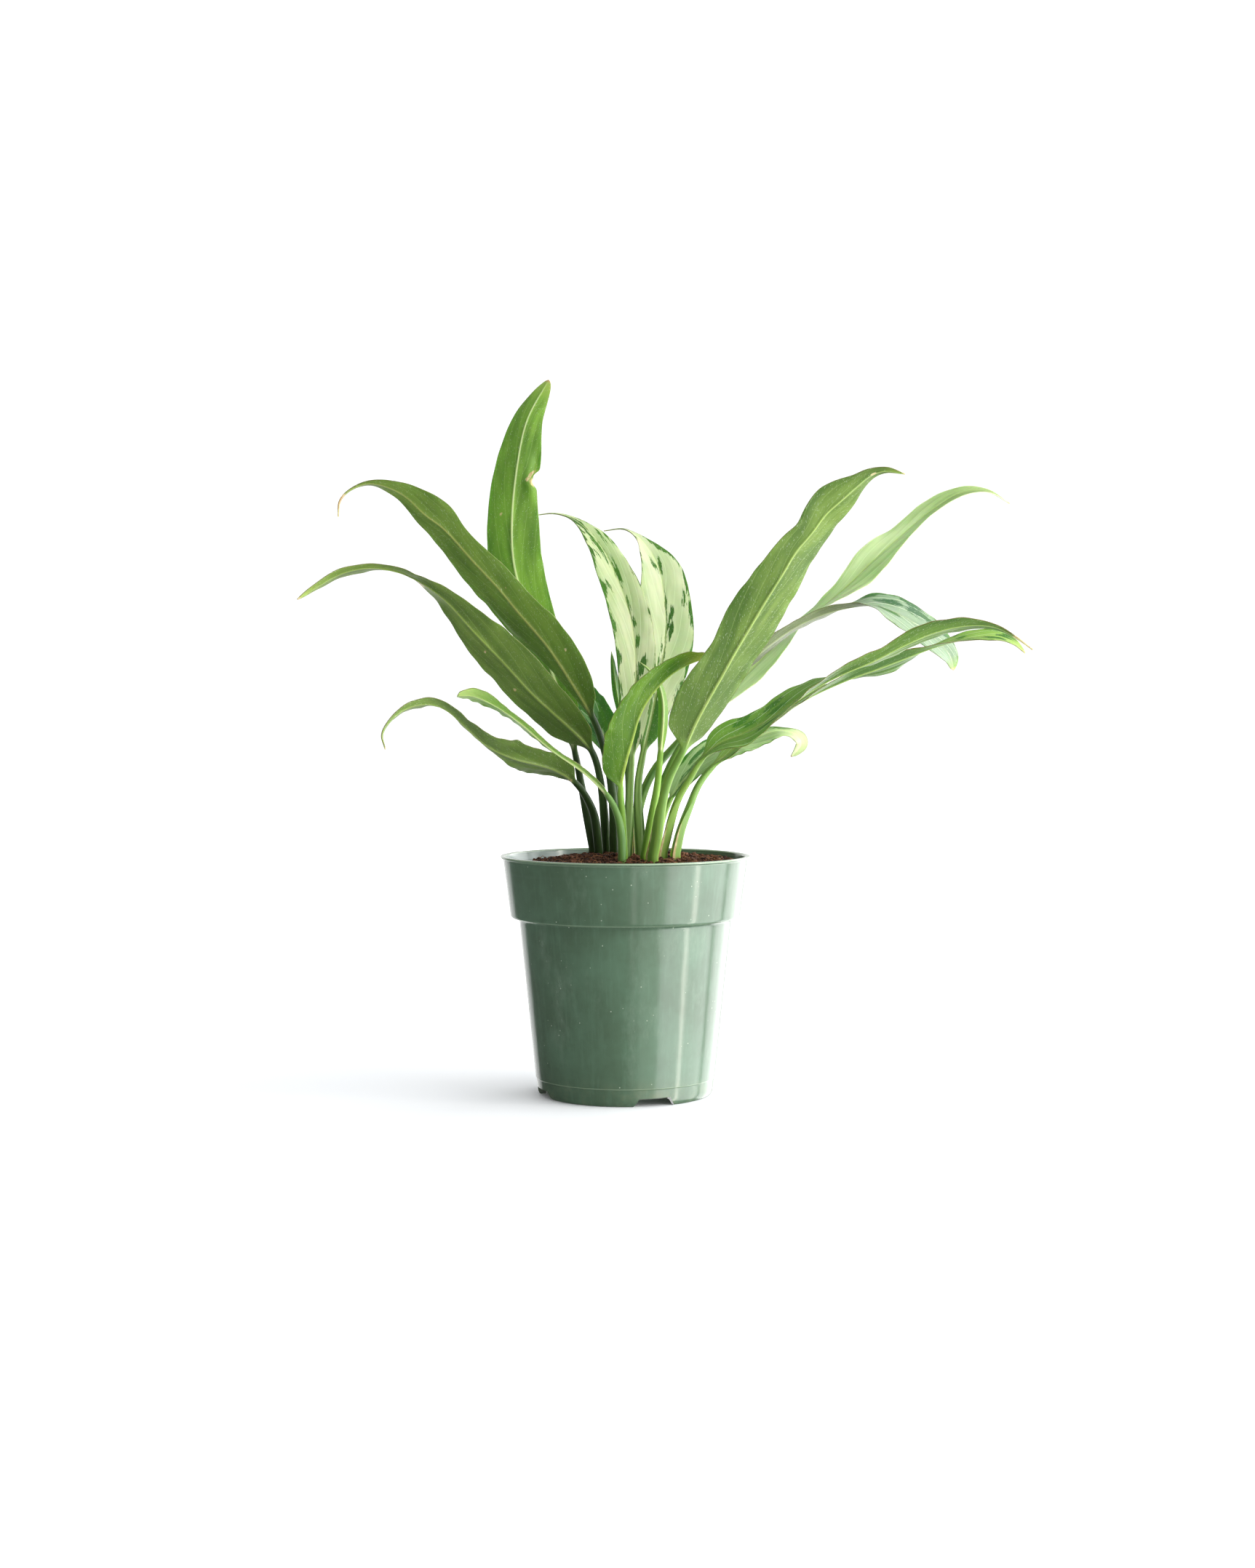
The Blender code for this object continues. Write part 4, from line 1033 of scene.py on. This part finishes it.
add_leaf("leaf_variegated_left", "leaf_variegated", dict(
    route=[(2, 6, 20, 180), (3, 8, 44, 180), (4, 12, 63, 180), (5.5, 20, 89, 180), (7, 30, 116, 180),
           (6.5, 40, 137, 178), (4.5, 50, 154, 175), (0.5, 60, 170, 172), (-7, 66, 189, 168),
           (-15, 72, 206, 160), (-26, 76, 220, 150), (-38, 79, 229, 130), (-50, 80, 232, 110),
           (-61, 80, 231, 100)],
    blade_from=2, lean=35, left=(3, 8.5, 12, 14, 14.2, 14, 13, 10.5, 7, 2),
    right=(3, 8.5, 11.2, 12.6, 13.8, 14.4, 13.1, 11.5, 7.2, 1.8), sheath=0.5, fold=10, wave=0.5, waves=2.0,
    veins=6, crease=0.35),
    borders=((-1.5, 1.6), (-1.2, 4.6)), rib_spots=4, streak=3.2,
    spots=[(0.26, 4.5, 7, 3.2), (0.36, 2.4, 6, 1.7), (0.44, 1.6, 7, 1.0), (0.52, 0.9, 6, 0.9),
           (0.63, 1.8, 11, 1.7), (0.72, -1.2, 4, 0.9), (0.55, -7.5, 4, 1.1), (0.14, 0, 14, 3),
           (0.06, 1, 12, 4), (0.75, 4.5, 6, 0.9), (0.68, -6, 3, 0.8)],
    pale="d5d9b4", pale_dark="b3c190", dark="3c6622", stalk="7d9b52", stalk_dark="5a7a3e", seed=10)

add_leaf("leaf_variegated_right", "leaf_variegated", dict(
    route=[(8.5, 16, 45, 180), (12, 24, 67, 180), (17, 34, 89, 180), (21.5, 46, 111, 182),
           (25.5, 58, 131, 184), (28, 68, 149, 184), (27.5, 77, 166, 182), (26, 85, 182, 178),
           (23, 91, 196, 170), (16, 96, 209, 150), (8, 100, 218, 130), (-1.5, 103, 223, 110),
           (-15, 106, 222, 100)],
    blade_from=1, lean=30, left=(4, 9, 13.8, 18.5, 19.8, 19.4, 18.2, 15.8, 8.6, 1.8),
    right=(4, 8.1, 12.5, 15.3, 17, 17.5, 17, 13.8, 8.2, 1.5), sheath=0.5, fold=8, wave=0.5, waves=2.0,
    phase=0.5, veins=6, crease=0.35),
    borders=((-1.2, 4.6), (-1.5, 1.6)), rib_spots=4, streak=3.2,
    spots=[(0.44, 3.2, 7, 2.2), (0.5, 4.2, 6, 2.0), (0.37, 0.5, 10, 1.0), (0.55, 0.6, 9, 0.8),
           (0.72, -2.4, 6, 1.3), (0.47, 13.5, 6, 1.4), (0.1, 0, 20, 6), (0.03, 2, 12, 6), (0.2, 0.5, 9, 1.6)],
    pale="dfe0c4", pale_dark="c2cba2", dark="3c6622", stalk="7d9b52", stalk_dark="5a7a3e", seed=11)

# A narrow unopened leaf stands behind them.

add_leaf("leaf_spear_back", "leaf_green", dict(
    route=[(2, 44, 47, 0), (-2, 46, 87, 0), (-6, 47, 109, 0), (-9.5, 48, 135.8, 0)],
    blade_from=1, left=(2, 3, 3.8, 4.3, 4.5, 4.4, 4, 3.4, 2.7, 1.8), stalk=2.2, fold=50, wave=0.0,
    pleat=0.1, flutter=0.1), under="5c8a38", under_dark="3f6a2c", rib="7da34a", stalk="4e7233", seed=12)

# The pale leaf at the upper right shows its upper side, narrows at its waist, and its tip turns down.

add_leaf("leaf_upper_right", "leaf_green", dict(
    route=[(10, 26, 33, -140), (18.6, 30, 54, -140), (32, 38, 70, -140), (48, 46, 86, -140),
           (75, 56, 111, -140), (93, 62, 130, -135), (111, 67, 146.5, -120), (125, 71, 158, -100),
           (141, 73, 170.5, -112), (158, 75, 185.5, -138), (173, 76, 200.5, -142), (190, 77, 215.5, -140),
           (211, 78, 233, -135), (233, 79, 246, -125), (251, 80, 247, -115), (266.5, 80, 239, -110)],
    blade_from=3, lean=40, left=(3, 7.5, 14.4, 12.5, 11.9, 12.7, 13.8, 7.5, 4.5, 5),
    right=(3, 4.5, 7.8, 9.8, 11.5, 9, 13, 9.5, 9.8, 5.5), phase=0.2, sharpness=0.7, pleat=0.3),
    borders=((-1, -0.6), (-1, -0.6)), rib_spots=0, pale="d3ddb4", pale_dark="b4c58f",
    dark="4c7a3c", under="93ab5c", under_dark="7b9449", rib="b9d168", edge="eef0d8", edge_width=0.9,
    tip="7f9a4a", tip_from=0.6, seed=13)

# The leaf below it turns over half way along, so that its upper side faces the front.

add_leaf("leaf_twisted_right", "leaf_green", dict(
    route=[(22, 26, 36, -50), (32, 27, 62, -50), (49, 29, 89, -50), (71.5, 32, 117, -50),
           (96, 36, 139, -54), (114, 39, 151.5, -57), (133, 41, 160.5, -66), (151, 42, 165.5, -86),
           (168, 43, 167, -112), (182, 43, 162.5, -133), (194, 44, 156, -142), (205, 44, 148, -145),
           (214, 44, 140.5, -145), (221, 44, 132, -145), (223, 44, 123, -145)],
    blade_from=2, lean=30, left=(2.6, 3, 5.9, 7, 6, 6.5, 10, 13.5, 14.5, 12.5),
    right=(2.6, 3.1, 5.7, 8.5, 8, 9, 14, 13.9, 13, 11.5), fold=10, phase=0.7, sharpness=0.6, pleat=0.3),
    borders=((-1.5, 1.5), (-1, 5)), rib_spots=4,
    spots=[(0.66, -7, 9, 2.2), (0.74, -8, 10, 2.6), (0.83, -8.5, 8, 2.2), (0.7, 1, 12, 1)],
    # The greyed, darker underside and midrib colours are painted shade with a painted glossy sheen.
    streak=3.2, pale="94a78e", pale_dark="748b6d", dark="47694a", under="7b8862", under_dark="5e6648",
    rib="a4ad86", tip="95b064", tip_from=0.95, seed=14)

# The long leaf to the right opens its blotched upper side at the base, then turns its underside to the
# front. Its tip has dried to a thread.

add_leaf("leaf_long_right", "leaf_green", dict(
    route=[(34, -4, 36, -90), (42.5, -5, 51, -100), (49, -6, 62, -115), (62.5, -7, 74, -135),
           (78.5, -8, 80.5, -137), (94.5, -8, 89.5, -122), (108.5, -8, 99.5, -115),
           (124.5, -8, 110.5, -100), (142, -8, 119.5, -75), (162.5, -8, 128, -60), (183, -8, 138.5, -57),
           (203, -8, 147, -57), (224, -8, 151.5, -58), (243, -7, 150.5, -60), (257, -6, 143.5, -62),
           (268, -5, 135.7, -62)],
    blade_from=2, lean=-20, left=(3, 12.5, 14.5, 12, 10, 9.5, 7.5, 11, 7.9, 2),
    right=(3, 12.3, 10.5, 14.5, 12, 10, 10, 8.7, 9.7, 2.5), sheath=0.55, fold=24, tip_fold=8,
    waves=3.2, phase=0.3, pleat=0.3),
    borders=((-1, 1), (-1, 1.5)), rib_spots=1,
    spots=[(0.1, -7.5, 7, 2.2), (0.14, -4, 6, 1.6), (0.2, -8, 8, 2), (0.24, -3.5, 8, 1.4), (0.17, 6, 9, 1.2)],
    pale="86a94e", pale_dark="6f943f", dark="36602d", under="67863b", under_dark="46652a", rib="a9c068",
    edge="7a4f36", dry_tip=0.93, stalk="7f9f45", stalk_dark="64893c", seed=15)

# A second long leaf lies behind it, a little lower, and turns its blotched upper side up at its tip.

add_leaf("leaf_long_low_right", "leaf_green", dict(
    route=[(37, -4, 18, -100), (42, 1, 31, -105), (48.5, 7, 46, -112), (57, 12, 57, -120),
           (68, 16, 66, -125), (81, 18, 76, -120), (98, 20, 87.5, -110), (112, 20, 98, -104),
           (126, 20, 106.3, -95), (151.5, 20, 117.5, -72), (168.5, 20, 123.3, -54),
           (184, 20, 129.3, -56), (209.5, 20, 138.9, -88), (235.5, 20, 144.7, -125),
           (249.5, 20, 145, -138), (260, 20, 141, -140), (267.5, 20, 134, -140)],
    blade_from=3, lean=10, left=(3, 7, 9.5, 10.5, 10.5, 10, 8.8, 6, 6.5, 5.6),
    right=(3, 7, 9.5, 10.5, 10.5, 10, 12.8, 9, 7, 5.6), sheath=0.55, fold=14, wave=0.8, waves=2.6, phase=0.8,
    sharpness=0.7, pleat=0.3),
    borders=((0, 2), (0, 2)), rib_spots=2, spots=[(0.88, 2, 9, 1.6), (0.92, -2, 7, 1.4), (0.8, 1, 8, 1.2)],
    pale="9ab860", pale_dark="7fa049", dark="3f6a2e", under="688842", under_dark="496a30", rib="a5bd67",
    edge="7a4f36", stalk="84a546", stalk_dark="6f9442", seed=16)

# The short leaf low at the right is pale, and its cream tip curls under.

add_leaf("leaf_short_right", "leaf_green", dict(
    route=[(24, 12, 21, -125), (30, 14, 36, -130), (41, 19, 51, -135), (55.5, 25, 64.5, -138),
           (73, 31, 73.5, -138), (90, 34, 78, -134), (104.5, 35, 82, -130), (114.5, 35, 79.5, -138),
           (119, 35, 74, -150), (116, 35, 68, -160), (112, 35, 64.5, -165)],
    blade_from=1, lean=20, left=(3, 9, 11, 12, 12.8, 14, 13.2, 10.8, 6, 5),
    right=(3, 9, 12, 12, 11.4, 10.5, 9, 5.5, 3.2, 5), stalk=2.6, wave=0.8, waves=2.0,
    sharpness=0.7, pleat=0.3),
    borders=((-1, 1.5), (0, 3)), rib_spots=4, spots=[(0.2, -6, 8, 1.7), (0.32, -5, 7, 1.4)],
    pale="b3c694", pale_dark="97b079", dark="4f7c3f", under="bccc98", under_dark="a0b67a", tip="d6d8ac",
    # Less painted shade at the base of this pale leaf.
    tip_from=0.7, painted_base_shade=0.3, stalk="8fb352", seed=17)

# The stage: a wide white floor that fades into an even white surround, daylight from the right, and the
# camera at the photograph's place.

FLOOR_RADIUS = 8.0
SHADE_PLACE = 0.14
LAMP_HEIGHT = 0.2


def grainy(tree, place):
    """A brightness that is random at every place and 1.1 on average."""
    made = tree.nodes.new("ShaderNodeTexWhiteNoise")
    feed(tree, made.inputs["Vector"], place)
    return plus(tree, 0.8, times(tree, made.outputs["Value"], 0.6))


def white_floor():
    """A matt white disc. To the camera it glows more and more away from the pot, so that its edge is lost.

    The glow is least a little to the left, where the shade falls, and none under the pot.
    """
    rings = revolved([(0.05, -0.002), (FLOOR_RADIUS, -0.002), (FLOOR_RADIUS, 0.0), (0.05, 0.0)], 96)
    floor = surface("floor", rings, 30)
    material, tree, shader = new_finish("white_floor", Roughness=0.7, Specular_IOR_Level=0.2)
    place = own_place(tree)
    x, y, _ = split(tree, place)
    feed(tree, shader.inputs["Base Color"], laid(tree, noise(tree, place, 7, 4), "eef1f6", "f5f7fa"))
    shader.inputs["Emission Color"].default_value = (1, 1, 1, 1)
    seen = tree.nodes.new("ShaderNodeLightPath").outputs["Is Camera Ray"]
    glow = ramp(tree, from_axis(tree, plus(tree, x, SHADE_PLACE), y), 0.12, 0.62, 0.15, 1.0)
    glow = times(tree, glow, ramp(tree, from_axis(tree, x, y), 0.045, 0.07))
    glow = times(tree, glow, grainy(tree, place))
    feed(tree, shader.inputs["Emission Strength"], times(tree, glow, seen))
    material.cycles.emission_sampling = "NONE"
    floor.data.materials.append(material)
    floor.visible_glossy = False
    return floor


def soft_light(name, place, size, power, colour=(1, 1, 1), height=LAMP_HEIGHT):
    """An upright rectangular lamp that faces the pot's axis. Size is its width and height."""
    light = bpy.data.lights.new(name, "AREA")
    light.shape = "RECTANGLE"
    light.size, light.size_y = size
    light.energy = power
    light.color = colour
    obj = bpy.data.objects.new(name, light)
    bpy.context.collection.objects.link(obj)
    obj.location = (*place, height)
    obj.rotation_euler = (math.pi / 2, 0, math.atan2(place[1], place[0]) + math.pi / 2)
    obj.visible_camera = False


def white_surround():
    """A world that looks plain white to the camera and lights softly, most from the right and from above.

    What the camera sees of it is grainy from sample to sample and averages to more than white. Beside a
    perfectly even white, the denoiser takes the noise on thin leaf tips for detail and keeps it.
    """
    world = bpy.data.worlds.new("surround")
    world.use_nodes = True
    tree = world.node_tree
    ground = tree.nodes["Background"]
    ground.inputs["Color"].default_value = (1, 1, 1, 1)
    direction = tree.nodes.new("ShaderNodeTexCoord").outputs["Generated"]
    right, _, above = split(tree, direction)
    glow = plus(tree, ramp(tree, right, -0.7, 0.8, 0.12, 0.4), ramp(tree, above, 0.1, 1.0, 0, 0.45))
    seen = tree.nodes.new("ShaderNodeLightPath").outputs["Is Camera Ray"]
    feed(tree, ground.inputs["Strength"], ramp(tree, seen, 0, 1, glow, grainy(tree, direction)))
    bpy.context.scene.world = world


white_floor()
white_surround()
soft_light("window", (1.6, -0.43), (2.3, 2.6), 94)
soft_light("window_side", (1.02, -1.95), (1.0, 2.4), 12, (0.92, 1, 0.9))
soft_light("window_bar", (1.42, -0.49), (0.07, 2.4), 9, (1, 0.93, 0.84))
soft_light("back_right", (1.17, 1.17), (1.25, 2.4), 38)
soft_light("back_left", (-0.8, 1.5), (0.7, 2.4), 6)
soft_light("back_middle", (0.1, 1.8), (1.5, 2.4), 11)
soft_light("front_strip", (0.34, -2.2), (0.12, 1.8), 2.2, (1, 0.95, 0.9), height=0.1)
bpy.context.scene.view_settings.view_transform = "Standard"

camera_data = bpy.data.cameras.new("camera")
camera_data.sensor_fit = "VERTICAL"
camera_data.sensor_height = 36
camera_data.lens = 52.43
camera = bpy.data.objects.new("camera", camera_data)
bpy.context.collection.objects.link(camera)
camera.location = (0.0015, -1.510, 0.258)
camera.rotation_euler = (math.radians(90 - 2.006), 0, 0)
bpy.context.scene.camera = camera
